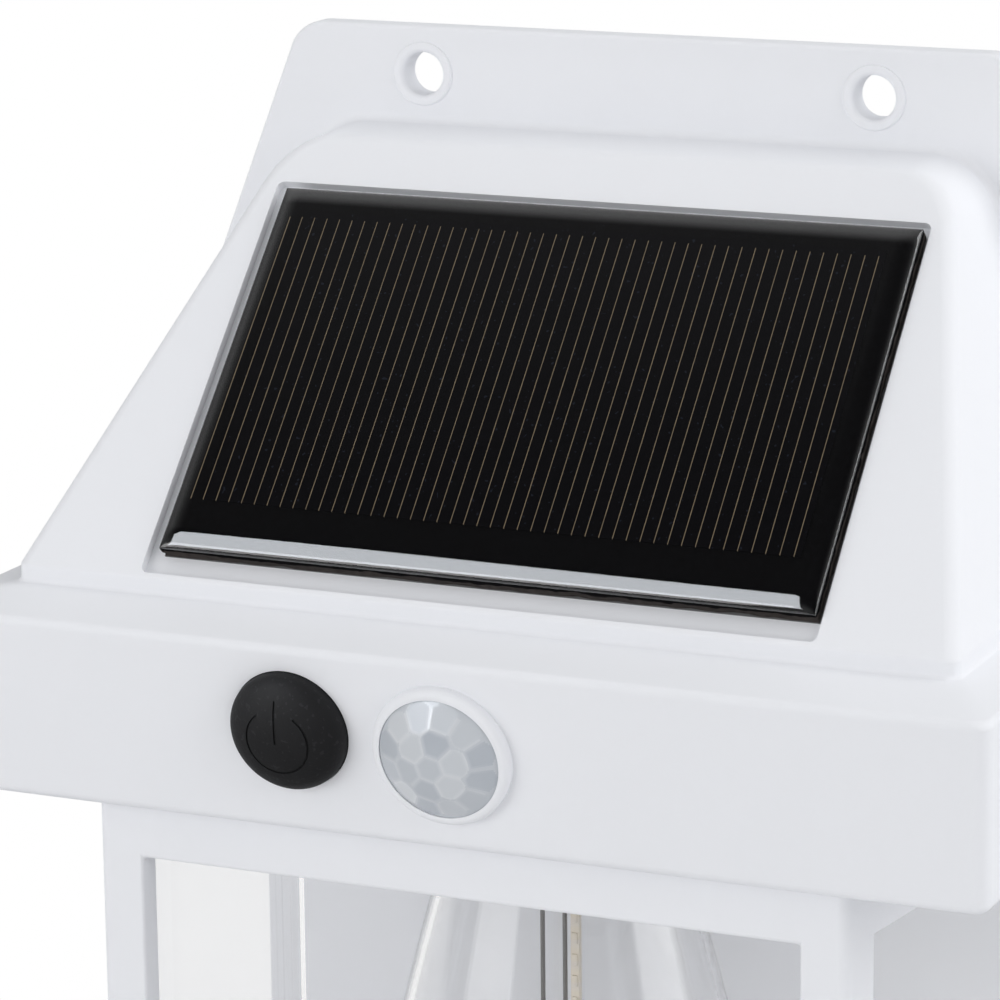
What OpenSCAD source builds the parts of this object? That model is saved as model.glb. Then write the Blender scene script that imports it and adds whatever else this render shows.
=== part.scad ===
// Solar wall light: a moulded hood with a solar panel, motion sensor and button
// over a small lantern with a clear bulb. Millimetres, +Z up, +Y into the wall.
// The origin is on the wall, midway between the two wall screws.

/* [Solar panel] */
// Width of the solar panel
panel_w = 72; // [68:1:84]
// Height of the solar panel, measured up the roof
panel_h = 45; // [38:1:54]
// Thickness of the panel's board
panel_t = 1.5; // [1:0.1:2]
// Thickness of the clear resin over the board
resin_t = 0.85; // [0.6:0.05:1.5]
// Width of the resin's rounded edge
resin_edge = 0.9; // [0.4:0.1:1.5]
// Thickness of the adhesive under the board
adhesive_t = 0.2; // [0.1:0.05:0.4]
// Bare board beside the cells
cell_margin = 3; // [2:0.5:6]
// Bare board below the cells
cell_foot = 6; // [3:0.5:8]
// Thickness of the cells
cell_t = 0.2; // [0.15:0.05:0.4]

/* [Panel tray] */
// Depth of the tray in the roof
tray_depth = 1.05; // [0.6:0.05:1.6]
// Gap between tray and panel on the left
tray_left = 1.7; // [0.4:0.1:3]
// Gap between tray and panel on the right
tray_right = 0.5; // [0.4:0.1:3]
// Gap above the panel
tray_above = 1.3; // [0.4:0.1:3]
// Gap below the panel
tray_below = 2.6; // [0.4:0.1:4]
// Radius of the tray's corners
tray_corner = 0.8; // [0.5:0.1:2]

/* [Roof] */
// Slope of the roof from the horizontal
roof_slope = 46.6; // [40:0.2:52]
// Roof face above the tray
rim_above = 6.3; // [3:0.1:10]
// Roof face below the tray
rim_below = 0.6; // [0.5:0.1:3]
// Roof face beside the tray at the ridge
rim_side = 0.6; // [0.5:0.1:4]
// Lean of the roof's flanks from the vertical
flank_lean = 18.9; // [10:0.1:25]
// Distance from the wall to the ridge
ridge_depth = 12; // [10:0.5:16]
// Drop from the screw line to the roof's flat top
top_drop = 5.3; // [5:0.1:8]
// Fall of the flat top from the plate to the ridge
top_fall = 0.5; // [0.3:0.1:1.5]
// Radius of the roof's shoulders, seen from the front
shoulder_r = 7; // [3:0.5:9]
// Radius of the ridge
ridge_r = 1.2; // [0.6:0.1:2]
// Radius of the roof's sloping corners
roof_corner_r = 1.5; // [0.6:0.1:2.5]
// Height of the upright lip below the roof
lip_h = 1.75; // [1.2:0.05:3]

/* [Band] */
// Width of the shelf in front of the lip
shelf_front = 8.8; // [6:0.1:12]
// Width of the shelf beside the lip
shelf_side = 6; // [4:0.1:9]
// Fall of the shelf towards its edge
shelf_fall = 1.45; // [0.8:0.05:2.5]
// Length of the band's face
band_face = 20.7; // [19:0.1:26]
// Lean of the band's face, its foot set back
band_lean = 10.9; // [4:0.1:14]
// Draft of the band's sides
band_draft = 3; // [1:0.5:6]
// Radius of the band's upright corners
band_corner_r = 2; // [1:0.1:4]
// Radius of the band's top and bottom edges
band_edge_r = 0.8; // [0.4:0.1:1.4]

/* [Walls] */
// Wall of the roof under the tray
roof_wall = 3.2; // [2.8:0.1:4]
// Wall of the band and the flanks
side_wall = 2.2; // [1.8:0.1:2.8]
// Floor of the hood
floor_t = 2; // [1.6:0.1:3]
// Wall round the rear opening
rear_wall = 4.2; // [3.9:0.1:5]

/* [Wall plate] */
// Thickness of the wall plate
plate_t = 3; // [2.8:0.1:3.8]
// Height of the plate above the screw line
plate_rise = 5.2; // [4.5:0.1:10]
// Plate beyond each screw at its top edge
plate_margin = 15; // [8:0.5:18]
// Radius of the plate's top corners
plate_corner_r = 4; // [1:0.5:6]
// Lean of the plate's upper sides from the vertical
plate_lean = 21.7; // [16:0.1:28]
// Distance between the wall screws
screw_spacing = 52; // [44:1:60]
// Diameter of the wall screw holes
screw_hole_d = 4.7; // [3.6:0.1:6]
// Width of the raised ring round each hole
screw_ring_w = 1.15; // [0.8:0.05:1.5]
// Height of the raised ring
screw_ring_h = 0.3; // [0.2:0.1:0.8]

/* [Button] */
// Distance of the button left of the middle
button_left = 16.2; // [15:0.1:20]
// Radius of the button's dome
button_r = 6.55; // [5:0.05:7.2]
// Height of the dome above the band
button_h = 4.1; // [3:0.1:5]
// Distance of the button below the band's top edge
button_drop = 9.2; // [8.8:0.1:11]
// Width of the button's flange behind the band
button_flange = 0.8; // [0.5:0.1:1.2]
// Gap between the button and its hole
button_gap = 0.25; // [0.2:0.05:0.4]
// Travel of the button
button_travel = 0.5; // [0.3:0.05:0.8]

/* [Sensor] */
// Distance of the sensor right of the middle
sensor_right = 0.6; // [0:0.1:4]
// Distance of the sensor below the band's top edge
sensor_drop = 10.3; // [9:0.1:11]
// Radius of the lens
lens_r = 6.35; // [5:0.05:6.8]
// Height of the lens above the band
lens_h = 3.6; // [2.5:0.1:5]
// Wall of the lens
lens_wall = 0.7; // [0.5:0.1:1]
// Angle between neighbouring lens facets
facet_step = 21; // [18:1:26]
// Width of the raised ring round the lens
ring_w = 1.15; // [0.8:0.05:1.5]
// Height of the raised ring
ring_h = 0.9; // [0.5:0.1:1.4]
// Radius of the sensor's can
can_r = 4.6; // [4:0.1:4.8]
// Height of the sensor's can
can_h = 4.3; // [3.5:0.1:4.8]

/* [Control board] */
// Distance from the band's face to the board
board_back = 10; // [9.5:0.1:11]
// Width of the control board
board_w = 62; // [58:1:70]
// Height of the control board
board_h = 15; // [13:0.5:15.5]
// Thickness of the control board
board_t = 1.2; // [1:0.1:1.6]
// Side of the push switch
switch_side = 6; // [5:0.5:7]
// Height of the push switch without its plunger
switch_h = 3.5; // [3:0.1:3.8]
// Radius of the switch's plunger
plunger_r = 1.7; // [1.2:0.1:2]

/* [Battery] */
// Diameter of the battery cell
battery_d = 18.4; // [14:0.1:18.6]
// Length of the battery cell
battery_len = 65; // [60:0.5:66]
// Thickness of the ribs that hold the cell
cradle_t = 1.8; // [1.2:0.1:2.5]

/* [Rear cover] */
// Thickness of the rear cover
cover_t = 1.6; // [1.3:0.1:1.8]
// Thickness of the seal under the cover
seal_t = 0.6; // [0.4:0.1:0.8]
// Width of the ledge that carries the seal
ledge_w = 2.5; // [2:0.1:3.2]
// Depth of the cover's face behind the wall line
cover_sink = 0.2; // [0.1:0.1:0.5]

/* [Lantern] */
// Height of the lantern below the hood
lantern_h = 72; // [60:1:90]
// Set-back of the lantern's front from the band's foot
lantern_front = 2.9; // [1:0.1:6]
// Set-back of the lantern's front corners from the band's ends
lantern_side = 15; // [12:0.5:18]
// Flare of the lantern's sides towards the wall
lantern_flare = 7.6; // [2:0.2:9]
// Wall of the lantern's frame
frame_t = 3; // [2.4:0.1:3.6]
// Width of the front posts, seen from the front
post_front = 5.05; // [4:0.05:7]
// Width of the front posts, seen from the side
post_side = 5.8; // [5:0.1:8]
// Height of the top rail
rail_top = 6.2; // [5.6:0.1:8]
// Height of the bottom rail with the base
rail_foot = 9; // [8.6:0.1:12]
// Thickness of the lantern's base
base_t = 2.4; // [1.8:0.1:3]
// Radius of the lantern's front corners
lantern_corner_r = 1.35; // [0.8:0.05:2.5]
// Thickness of the clear liner
liner_t = 1.2; // [0.8:0.1:1.6]
// Width of the liner's folded rear edges
liner_fold = 2.2; // [1.6:0.1:4]
// Overlap of the liner behind the rails
liner_lap = 1; // [0.6:0.1:1.4]

/* [Bulb] */
// Radius of the bulb's neck
neck_r = 10.5; // [9:0.1:11.5]
// Gap between the bulb's widest part and the liner
bulb_side_gap = 1.4; // [1:0.1:4]
// Gap between the bulb and the lantern's base
bulb_foot_gap = 8.4; // [3:0.1:14]
// Wall of the bulb
bulb_wall = 1; // [0.8:0.1:1.4]
// Height of the bulb's rounded foot
bulb_foot_h = 19; // [14:0.5:24]
// Thickness of the light board over the bulb
light_board_t = 1; // [0.8:0.1:1.6]
// Width of the light strip in the bulb
strip_w = 1; // [0.8:0.1:2]
// Diameter of the lead wires in the bulb
lead_d = 0.5; // [0.4:0.1:1]

/* [Wires and screws] */
// Diameter of the insulated wires
wire_d = 1.3; // [1:0.1:1.6]
// Diameter of the small screws
screw_d = 2.2; // [2:0.1:2.6]
// Diameter of the small screws' heads
screw_head_d = 4.2; // [3.8:0.1:4.6]

/* [Hidden] */
$fn = 48;

// Running clearance between pieces that slide into each other
fit = 0.15;
// Overlap that lets a cut leave its face cleanly
cut = 1;
// Clearance round a screw that passes through a piece
screw_play = 0.25;
// Thickness of a screw's sunk head
head_t = (screw_head_d - screw_d) / 2;
// Length of a screw's thread in its boss
thread_len = 6;
// Wall of a boss round its screw
boss_wall = 1.7;
boss_r = screw_d / 2 + boss_wall;

// Roof and tray
tray_w = panel_w + tray_left + tray_right;
tray_h = panel_h + tray_above + tray_below;
panel_x = (tray_left - tray_right) / 2;
panel_foot = rim_below + tray_below;
roof_len = rim_above + tray_h + rim_below;
top_z = -top_drop;
ridge_z = top_z - top_fall;
eave_z = ridge_z - roof_len * sin(roof_slope);
eave_depth = ridge_depth + roof_len * cos(roof_slope);
ridge_half = tray_w / 2 + rim_side;
eave_half = flank_half(eave_z);

// Shelf and band
lip_z = eave_z - lip_h;
band_z = lip_z - shelf_fall;
band_depth = eave_depth + shelf_front;
band_half = eave_half + shelf_side;
foot_z = band_z - band_face * cos(band_lean);
foot_depth = band_depth - band_face * sin(band_lean);
foot_half = band_half - (band_z - foot_z) * tan(band_draft);
floor_z = foot_z + floor_t;

// Wall plate
plate_top_half = screw_spacing / 2 + plate_margin;
// Set-in of the plate's edge behind the band's side
plate_set_in = 0.1;

// Lantern
lantern_depth = foot_depth - lantern_front;
lantern_half = foot_half - lantern_side;
lantern_back_half = lantern_half + (lantern_depth - plate_t) * tan(lantern_flare);
lantern_foot_z = foot_z - lantern_h;
base_z = lantern_foot_z + base_t;
window_top_z = foot_z - rail_top;
window_foot_z = lantern_foot_z + rail_foot;
liner_top_z = window_top_z + liner_lap;
liner_foot_z = window_foot_z - liner_lap;
// Radius of the rail bosses, which fill the rail above the liner
rail_boss_r = (rail_top - liner_lap - 0.5) / 2;
rail_boss_z = liner_top_z + fit + rail_boss_r;
foot_boss_z = liner_foot_z - fit - rail_boss_r;
liner_depth = lantern_depth - frame_t - fit;

// Bulb
bulb_depth = (plate_t + liner_depth - liner_t) / 2;
bulb_r = (liner_depth - liner_t - plate_t) / 2 - bulb_side_gap;
bulb_foot_z = base_z + bulb_foot_gap;
bulb_flange_w = 1.6;
bulb_flange_t = 1.2;
clamp_h = 4.6;
clamp_ear_t = 1.6;
clamp_ring_r = neck_r + bulb_flange_w + fit + 1.6;
clamp_screw_x = clamp_ring_r + boss_r - 0.6;
light_board_z = floor_z + clamp_h;
light_board_r = clamp_ring_r - 1.6;

// Rear cover
cover_top_z = top_z - side_wall - 3;
cover_foot_z = floor_z + 3;
cover_top_half = flank_half(cover_top_z) - side_wall - 3;
cover_foot_half = eave_half - side_wall - 3;
cover_corner_r = 4;
cover_depth = cover_sink + cover_t;
seal_depth = cover_depth + seal_t;
// Radius of the posts behind the cover, which grow out of the ledge
post_r = boss_r + 0.4;
// Distance of the cover's screws from its edges
cover_screw_in = ledge_w + post_r - 0.8;
cover_screws = [for (s = [-1, 1]) each [
    [s * (cover_top_half - cover_screw_in), cover_top_z - cover_screw_in],
    [s * (cover_foot_half - cover_screw_in), cover_foot_z + cover_screw_in]]];

// Battery
battery_r = battery_d / 2;
battery_depth = cover_depth + 2.6 + battery_r;
battery_z = (cover_top_z + cover_foot_z) / 2;
// Distance of the cradle ribs from the middle
cradle_x = battery_len / 2 - 10;
stop_x = battery_len / 2 + 0.5;

// Control board, in the band's own frame
button_x = -button_left;
lens_x = sensor_right;
board_y = -(button_drop + sensor_drop) / 2 - 0.8;
board_post_x = board_w / 2 - 4;
switch_top = -board_back + switch_h;
button_flange_t = 0.8;
button_back = -side_wall - fit - button_flange_t;
plunger_tip = switch_top + 1;
lens_flange_w = 1;
lens_flange_t = 1;
socket_x = board_post_x - 8;
socket_d = 4;
plug_d = 5;

// Half width of the roof between its flanks at a height
function flank_half(z) = ridge_half + (ridge_z - z) * tan(flank_lean);

// Unit vector
function unit(v) = v / norm(v);

// Points of the arc that rounds corner b of the path a, b, c
function corner_arc(a, b, c, r, n) = let (
    u = unit(a - b), v = unit(c - b),
    half = acos(u * v) / 2,
    reach = r / tan(half),
    centre = b + unit(u + v) * r / sin(half),
    from = b + u * reach - centre,
    to = b + v * reach - centre,
    turn = 180 - 2 * half,
    side = cross(from, to) > 0 ? 1 : -1)
    r == 0 || turn < 1 ? [b] : [for (i = [0:n])
        let (t = side * turn * i / n)
        centre + [from.x * cos(t) - from.y * sin(t), from.x * sin(t) + from.y * cos(t)]];

// Closed outline with a radius at each corner
function round_outline(p, r, n = 6) = [for (i = [0:len(p) - 1]) each corner_arc(
    p[(i + len(p) - 1) % len(p)], p[i], p[(i + 1) % len(p)], r[i], n)];

// Open path with a radius at each corner, up to the corner before its last point
function round_path(p, r, n = 6) = [p[0],
    for (i = [1:len(p) - 2]) each corner_arc(p[i - 1], p[i], p[i + 1], r[i], n)];

// Outline mirrored to the left of the middle
function mirrored(p) = concat(p, [for (i = [len(p) - 1:-1:0]) [-p[i].x, p[i].y]]);

// Values in rising order
function sorted(v) = len(v) < 2 ? v : let (p = v[floor(len(v) / 2)]) concat(
    sorted([for (x = v) if (x < p) x]), [p], sorted([for (x = v) if (x > p) x]));

// Rising values without those closer than a gap to the one before
function spaced(v, gap, last = -1e9, i = 0) = i == len(v) ? [] :
    v[i] - last > gap ? concat([v[i]], spaced(v, gap, v[i], i + 1)) : spaced(v, gap, last, i + 1);

// Path of [distance, height] as a table of distance over height
function over_height(path) = [for (i = [len(path) - 1:-1:0]) [path[i].y, path[i].x]];

// Level outline of the hood: square at the back, rounded at its two front corners
function level_outline(half, back, front, r) = let (n = 5) concat(
    [[half, -back]],
    [for (i = [0:n]) [half - r + r * cos(90 * i / n), -(front - r) - r * sin(90 * i / n)]],
    [for (i = [n:-1:0]) [-half + r - r * cos(90 * i / n), -(front - r) - r * sin(90 * i / n)]],
    [[-half, -back]]);

// Solid between a side profile and a front profile, lofted through level outlines
module loft(side, front, back, r_top, r_foot, r_z) {
    depths = over_height(side);
    halves = over_height(front);
    levels = spaced(sorted(concat([for (p = side) p.y], [for (p = front) p.y])), 0.02);
    rings = [for (z = levels) level_outline(lookup(z, halves), back, lookup(z, depths),
        z > r_z ? r_top : r_foot)];
    n = len(rings[0]);
    m = len(rings);
    polyhedron(
        points = [for (k = [0:m - 1]) for (p = rings[k]) [p.x, p.y, levels[k]]],
        faces = concat(
            [[for (i = [n - 1:-1:0]) i]],
            [[for (i = [0:n - 1]) (m - 1) * n + i]],
            [for (k = [0:m - 2]) for (i = [0:n - 1]) let (a = k * n + i, b = k * n + (i + 1) % n)
                each [[a, b, b + n], [a, b + n, a + n]]]));
}

// The roof's frame: Y up the slope from the ridge, Z out of the face
module on_roof() translate([0, -ridge_depth, ridge_z]) rotate([roof_slope, 0, 0]) children();

// The panel's frame: from the middle of its lower edge on the tray's floor
module on_tray() on_roof() translate([panel_x, panel_foot - roof_len, -tray_depth]) children();

// The band's frame: Y up the face from its top edge, Z out of the face
module on_band() translate([0, -band_depth, band_z]) rotate([90 + band_lean, 0, 0]) children();

// The same frames for single points
function roof_point(p) = [p.x,
    p.y * cos(roof_slope) - p.z * sin(roof_slope) - ridge_depth,
    p.y * sin(roof_slope) + p.z * cos(roof_slope) + ridge_z];
function band_point(p) = [p.x,
    -p.y * sin(band_lean) - p.z * cos(band_lean) - band_depth,
    p.y * cos(band_lean) - p.z * sin(band_lean) + band_z];

// An outline drawn as seen from the front, from one depth to another behind the wall line
module upright(near, far) translate([0, -near, 0]) rotate([90, 0, 0])
    linear_extrude(far - near) children();

// Wire along a smooth curve that leaves both ends at right angles to what it meets
module wire(p, d, rings = 14) {
    sides = 8;
    point = function(t) pow(1 - t, 3) * p[0] + 3 * t * pow(1 - t, 2) * p[1]
        + 3 * t * t * (1 - t) * p[2] + pow(t, 3) * p[3];
    course = function(t) unit(pow(1 - t, 2) * (p[1] - p[0]) + 2 * t * (1 - t) * (p[2] - p[1])
        + t * t * (p[3] - p[2]));
    across = unit(cross(p[3] - p[0], p[1] - p[0] + [0.01, 0, 0]));
    section = [for (k = [0:rings]) let (t = k / rings, w = course(t),
        u = unit(across - (across * w) * w), v = cross(w, u))
        for (i = [0:sides - 1]) point(t)
            + d / 2 * (cos(360 * i / sides) * u + sin(360 * i / sides) * v)];
    polyhedron(points = section, faces = concat(
        [[for (i = [0:sides - 1]) i]],
        [[for (i = [sides - 1:-1:0]) rings * sides + i]],
        [for (k = [0:rings - 1]) for (i = [0:sides - 1])
            let (a = k * sides + i, b = k * sides + (i + 1) % sides)
            each [[a, a + sides, b + sides], [a, b + sides, b]]]));
}

// Sunk-head screw pointing down, with the top of its head at the origin
module small_screw(length) difference() {
    union() {
        translate([0, 0, -head_t]) cylinder(h = head_t, d1 = screw_d, d2 = screw_head_d);
        translate([0, 0, -length]) cylinder(h = length - head_t + 0.01, d = screw_d);
    }
    for (a = [0, 90]) rotate(a) translate([-0.3, -screw_head_d / 3, -head_t * 0.6])
        cube([0.6, screw_head_d / 1.5, head_t]);
}

// Hole for a sunk-head screw through a piece of a given thickness
module screw_way(thickness) {
    translate([0, 0, -thickness - cut]) cylinder(h = thickness + 2 * cut, d = screw_d + 2 * screw_play);
    translate([0, 0, -head_t - fit]) cylinder(h = head_t + fit + 0.01,
        d1 = screw_d + 2 * screw_play, d2 = screw_head_d + 2 * screw_play);
    cylinder(h = cut, d = screw_head_d + 2 * screw_play);
}

// Pilot hole for a screw's thread
module pilot(depth) translate([0, 0, -depth]) cylinder(h = depth + cut, d = screw_d);

// Outer side profile of the hood, as [depth, height] from the top down
function hood_side() = round_path([
    [plate_t * 0.6, top_z + top_fall * 0.1], [ridge_depth, ridge_z], [eave_depth, eave_z],
    [eave_depth + 0.02, lip_z], [band_depth, band_z], [foot_depth, foot_z], [foot_depth - 5, foot_z]],
    [0, ridge_r, 0.5, 0.4, band_edge_r, band_edge_r, 0]);

// Outer front profile of the hood, as [half width, height] from the top down
function hood_front() = round_path([
    [0, top_z], [flank_half(top_z), top_z], [eave_half, eave_z],
    [eave_half + 0.02, lip_z], [band_half, band_z], [foot_half, foot_z], [foot_half - 5, foot_z]],
    [0, shoulder_r, 0.5, 0.4, band_edge_r, band_edge_r, 0]);

module hood_body() loft(hood_side(), hood_front(), 0, roof_corner_r, band_corner_r, lip_z + 0.5);

// Height of the underside of the shelf at its two ends
shelf_in_z = band_z - side_wall;

// Hollow of the hood behind its walls
module hood_hollow() {
    roof_in = roof_wall / cos(roof_slope);
    ridge_in = ridge_z - roof_in;
    loft(
        round_path([[rear_wall + 1, top_z - side_wall], [ridge_depth, ridge_in + 0.6],
            [ridge_depth + (ridge_in - (lip_z - side_wall)) / tan(roof_slope), lip_z - side_wall],
            [band_depth - side_wall / cos(band_lean), shelf_in_z],
            [foot_depth - side_wall / cos(band_lean) + floor_t * tan(band_lean), floor_z],
            [0, floor_z]],
            [0, 1, 0, 0.5, 0, 0]),
        round_path([[0, top_z - side_wall], [flank_half(top_z) - side_wall, top_z - side_wall],
            [flank_half(lip_z) - side_wall / cos(flank_lean), lip_z - side_wall],
            [band_half - side_wall, shelf_in_z],
            [foot_half - side_wall, floor_z],
            [0, floor_z]],
            [0, max(1, shoulder_r - side_wall), 0, 0.5, 0, 0]),
        rear_wall, 0.8, 1, shelf_in_z);
}

// Outline of the wall plate, seen from the front
module plate_outline() {
    reach_z = max(band_z + 1, plate_rise - (band_half - plate_top_half) / tan(plate_lean));
    reach_half = plate_top_half + (plate_rise - reach_z) * tan(plate_lean);
    polygon(round_outline(mirrored([
        [plate_top_half, plate_rise], [reach_half, reach_z],
        [band_half - plate_set_in, band_z], [foot_half - plate_set_in, foot_z + plate_set_in],
        [lantern_back_half, foot_z + plate_set_in], [lantern_back_half, lantern_foot_z]]),
        [plate_corner_r, 0, 0, 0, 0, 2, 2, 0, 0, 0, 0, plate_corner_r]));
}

// Outline of the rear cover, drawn in by an inset
module cover_outline(inset) polygon(round_outline(mirrored([
    [cover_top_half - inset, cover_top_z - inset],
    [cover_foot_half - inset, cover_foot_z + inset]]),
    [for (i = [0:3]) max(0.8, cover_corner_r - inset)]));

// Wall plate, roof, shelf and band, moulded in one with their posts and ribs
module housing() color("whitesmoke") difference() {
    union() {
        difference() {
            union() {
                upright(0, plate_t) plate_outline();
                hood_body();
                for (s = [-1, 1]) translate([s * screw_spacing / 2, -plate_t + 0.5, 0])
                    rotate([90, 0, 0]) screw_ring();
                on_band() translate([lens_x, -sensor_drop, 0]) lens_ring();
            }
            hood_hollow();
            on_tray() tray_pocket();
            upright(-cut, rear_wall + cut) cover_outline(ledge_w);
            upright(-cut, seal_depth) cover_outline(-fit);
        }
        cover_posts();
        board_posts();
        clamp_bosses();
        battery_ribs();
    }
    for (s = [-1, 1]) translate([s * screw_spacing / 2, cut, 0])
        rotate([90, 0, 0]) cylinder(h = plate_t + screw_ring_h + 2 * cut, d = screw_hole_d);
    for (p = cover_screws) translate([p.x, -seal_depth, p.y]) rotate([-90, 0, 0])
        pilot(thread_len + 1);
    on_band() {
        translate([button_x, -button_drop, 0])
            way_in(button_r + button_gap, button_r + button_flange, cut);
        translate([lens_x, -sensor_drop, 0])
            way_in(lens_r + fit, lens_r + lens_flange_w, ring_h + cut);
        for (s = [-1, 1]) translate([s * board_post_x, board_y, -board_back])
            rotate([180, 0, 0]) pilot(thread_len);
    }
    translate([0, -bulb_depth, foot_z - cut]) cylinder(h = floor_t + 2 * cut, r = neck_r + fit);
    for (s = [-1, 1]) translate([s * clamp_screw_x, -bulb_depth, light_board_z - clamp_ear_t])
        pilot(clamp_h - clamp_ear_t + floor_t - 1);
    on_tray() translate([lead_x, lead_y, -roof_wall - cut])
        cylinder(h = roof_wall + 2 * cut, r = lead_hole_r);
    for (s = [-1, 1]) for (z = [rail_boss_z, foot_boss_z])
        translate([s * rail_screw_x, 0, z]) rotate([-90, 0, 0]) screw_way(plate_t);
}

// Hole through the band, with a seat behind it for a flange of a given radius
module way_in(hole_r, flange_r, rise) {
    translate([0, 0, -side_wall - cut]) cylinder(h = side_wall + cut + rise, r = hole_r);
    translate([0, 0, -side_wall - 2.5]) cylinder(h = 2.5, r = flange_r + fit);
}

// Raised ring round a wall screw hole
module screw_ring() cylinder(h = 0.5 + screw_ring_h, d = screw_hole_d + 2 * screw_ring_w);

// Raised ring round the lens, with a softened rim
module lens_ring() rotate_extrude() let (a = lens_r + fit, b = a + ring_w, c = 0.35)
    polygon([[a - 1, -1], [b, -1], [b, ring_h - c], [b - c / 3, ring_h - c / 3],
        [b - c, ring_h], [a + c, ring_h], [a, ring_h - c], [a - 1, ring_h - c]]);

// Pocket for the solar panel, open to the roof's face
module tray_pocket() translate([-panel_x, 0, 0]) linear_extrude(tray_depth + cut)
    polygon(round_outline([
        [tray_w / 2, -tray_below], [tray_w / 2, tray_h - tray_below],
        [-tray_w / 2, tray_h - tray_below], [-tray_w / 2, -tray_below]],
        [for (i = [0:3]) tray_corner]));

// Place and radius of the hole for the panel's leads
lead_x = 22;
lead_y = 9;
lead_pitch = wire_d + 0.3;
lead_hole_r = lead_pitch / 2 + wire_d / 2 + 0.3;

// Posts that take the rear cover's screws
module cover_posts() for (p = cover_screws) translate([p.x, -seal_depth, p.y])
    rotate([90, 0, 0]) cylinder(h = thread_len + 3, r = post_r);

// Posts behind the band that take the control board
module board_posts() on_band() for (s = [-1, 1])
    translate([s * board_post_x, board_y, -board_back])
        cylinder(h = board_back - side_wall + 0.5, r = boss_r);

// Bosses on the hood's floor that take the bulb's clamp
module clamp_bosses() for (s = [-1, 1])
    translate([s * clamp_screw_x, -bulb_depth, floor_z - 0.5])
        cylinder(h = clamp_h - clamp_ear_t + 0.5, r = boss_r);

// Ribs under the roof that press the battery against its cradle
module battery_ribs() {
    dy = ridge_depth - battery_depth;
    dz = battery_z - ridge_z;
    up = dy * cos(roof_slope) + dz * sin(roof_slope);
    out = dz * cos(roof_slope) - dy * sin(roof_slope);
    on_roof() for (s = [-1, 1]) difference() {
        translate([s * cradle_x - cradle_t / 2, up - battery_r * 0.6, out + battery_r * 0.5])
            cube([cradle_t, battery_r * 1.2, -out - battery_r * 0.5 - roof_wall + 0.5]);
        translate([s * cradle_x, up, out]) rotate([0, 90, 0])
            cylinder(h = cradle_t + 2 * cut, r = battery_r + fit, center = true);
    }
}

module rear_cover() color("gainsboro") difference() {
    union() {
        upright(cover_sink, cover_depth) cover_outline(fit);
        for (s = [-1, 1]) difference() {
            translate([s * cradle_x - cradle_t / 2, -battery_depth, battery_z - battery_r * 0.8])
                cube([cradle_t, battery_depth - cover_depth + 0.5, battery_r * 1.6]);
            translate([s * cradle_x, -battery_depth, battery_z]) rotate([0, 90, 0])
                cylinder(h = cradle_t + 2 * cut, r = battery_r + fit, center = true);
        }
        for (s = [-1, 1]) translate([s * (stop_x + cradle_t / 2) - cradle_t / 2,
            -cover_depth - battery_r * 0.8, battery_z - battery_r / 2])
            cube([cradle_t, battery_r * 0.8 + 0.5, battery_r]);
    }
    for (p = cover_screws) translate([p.x, -cover_sink, p.y]) rotate([-90, 0, 0]) screw_way(cover_t);
}

// Ring on the ledge, widened into a pad over each screw post
module rear_cover_seal() color("dimgray") difference() {
    union() {
        upright(cover_depth, seal_depth) difference() {
            cover_outline(fit);
            cover_outline(ledge_w);
        }
        for (p = cover_screws) translate([p.x, -cover_depth, p.y]) rotate([90, 0, 0])
            cylinder(h = seal_t, r = post_r);
    }
    for (p = cover_screws) translate([p.x, cut - cover_depth, p.y]) rotate([90, 0, 0])
        cylinder(h = seal_t + 2 * cut, d = screw_d + 2 * screw_play);
}

module rear_cover_screws() color("silver") for (p = cover_screws)
    translate([p.x, -cover_sink, p.y]) rotate([-90, 0, 0])
        small_screw(cover_t + seal_t + thread_len);

// Slab over the whole panel, from its lower edge up
module panel_slab(t) translate([-panel_w / 2, 0, 0]) cube([panel_w, panel_h, t]);

module lead_hole(t) translate([lead_x, lead_y, -cut]) cylinder(h = t + 2 * cut, r = lead_hole_r);

module panel_adhesive() color("dimgray") on_tray() difference() {
    panel_slab(adhesive_t);
    lead_hole(adhesive_t);
}

module panel_board() color("black") on_tray() translate([0, 0, adhesive_t]) panel_slab(panel_t);

// The cells, one sheet between the bare margins
module cell_sheet(t) translate([-panel_w / 2 + cell_margin, cell_foot, adhesive_t + panel_t])
    cube([panel_w - 2 * cell_margin, panel_h - cell_foot - cell_margin, t]);

module solar_cells() color("midnightblue") on_tray() cell_sheet(cell_t);

// Clear resin over the whole board, with its edge rounded off
module panel_resin() color("darkslategray", 0.6) on_tray() difference() {
    translate([0, 0, adhesive_t + panel_t]) resin_slab();
    cell_sheet(cell_t);
}

// Resin slab lofted through outlines that draw in along a quarter ellipse
module resin_slab() {
    steps = 5;
    rings = [for (k = [0:steps]) let (a = 90 * k / steps)
        [resin_edge * (1 - cos(a)), resin_t * sin(a)]];
    polyhedron(
        points = [for (r = rings) let (w = panel_w / 2 - r.x)
            each [[w, r.x, r.y], [w, panel_h - r.x, r.y], [-w, panel_h - r.x, r.y], [-w, r.x, r.y]]],
        faces = concat([[0, 1, 2, 3]], [[for (i = [3:-1:0]) steps * 4 + i]],
            [for (k = [0:steps - 1]) for (i = [0:3]) let (a = k * 4 + i, b = k * 4 + (i + 1) % 4)
                [a, a + 4, b + 4, b]]));
}

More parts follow.
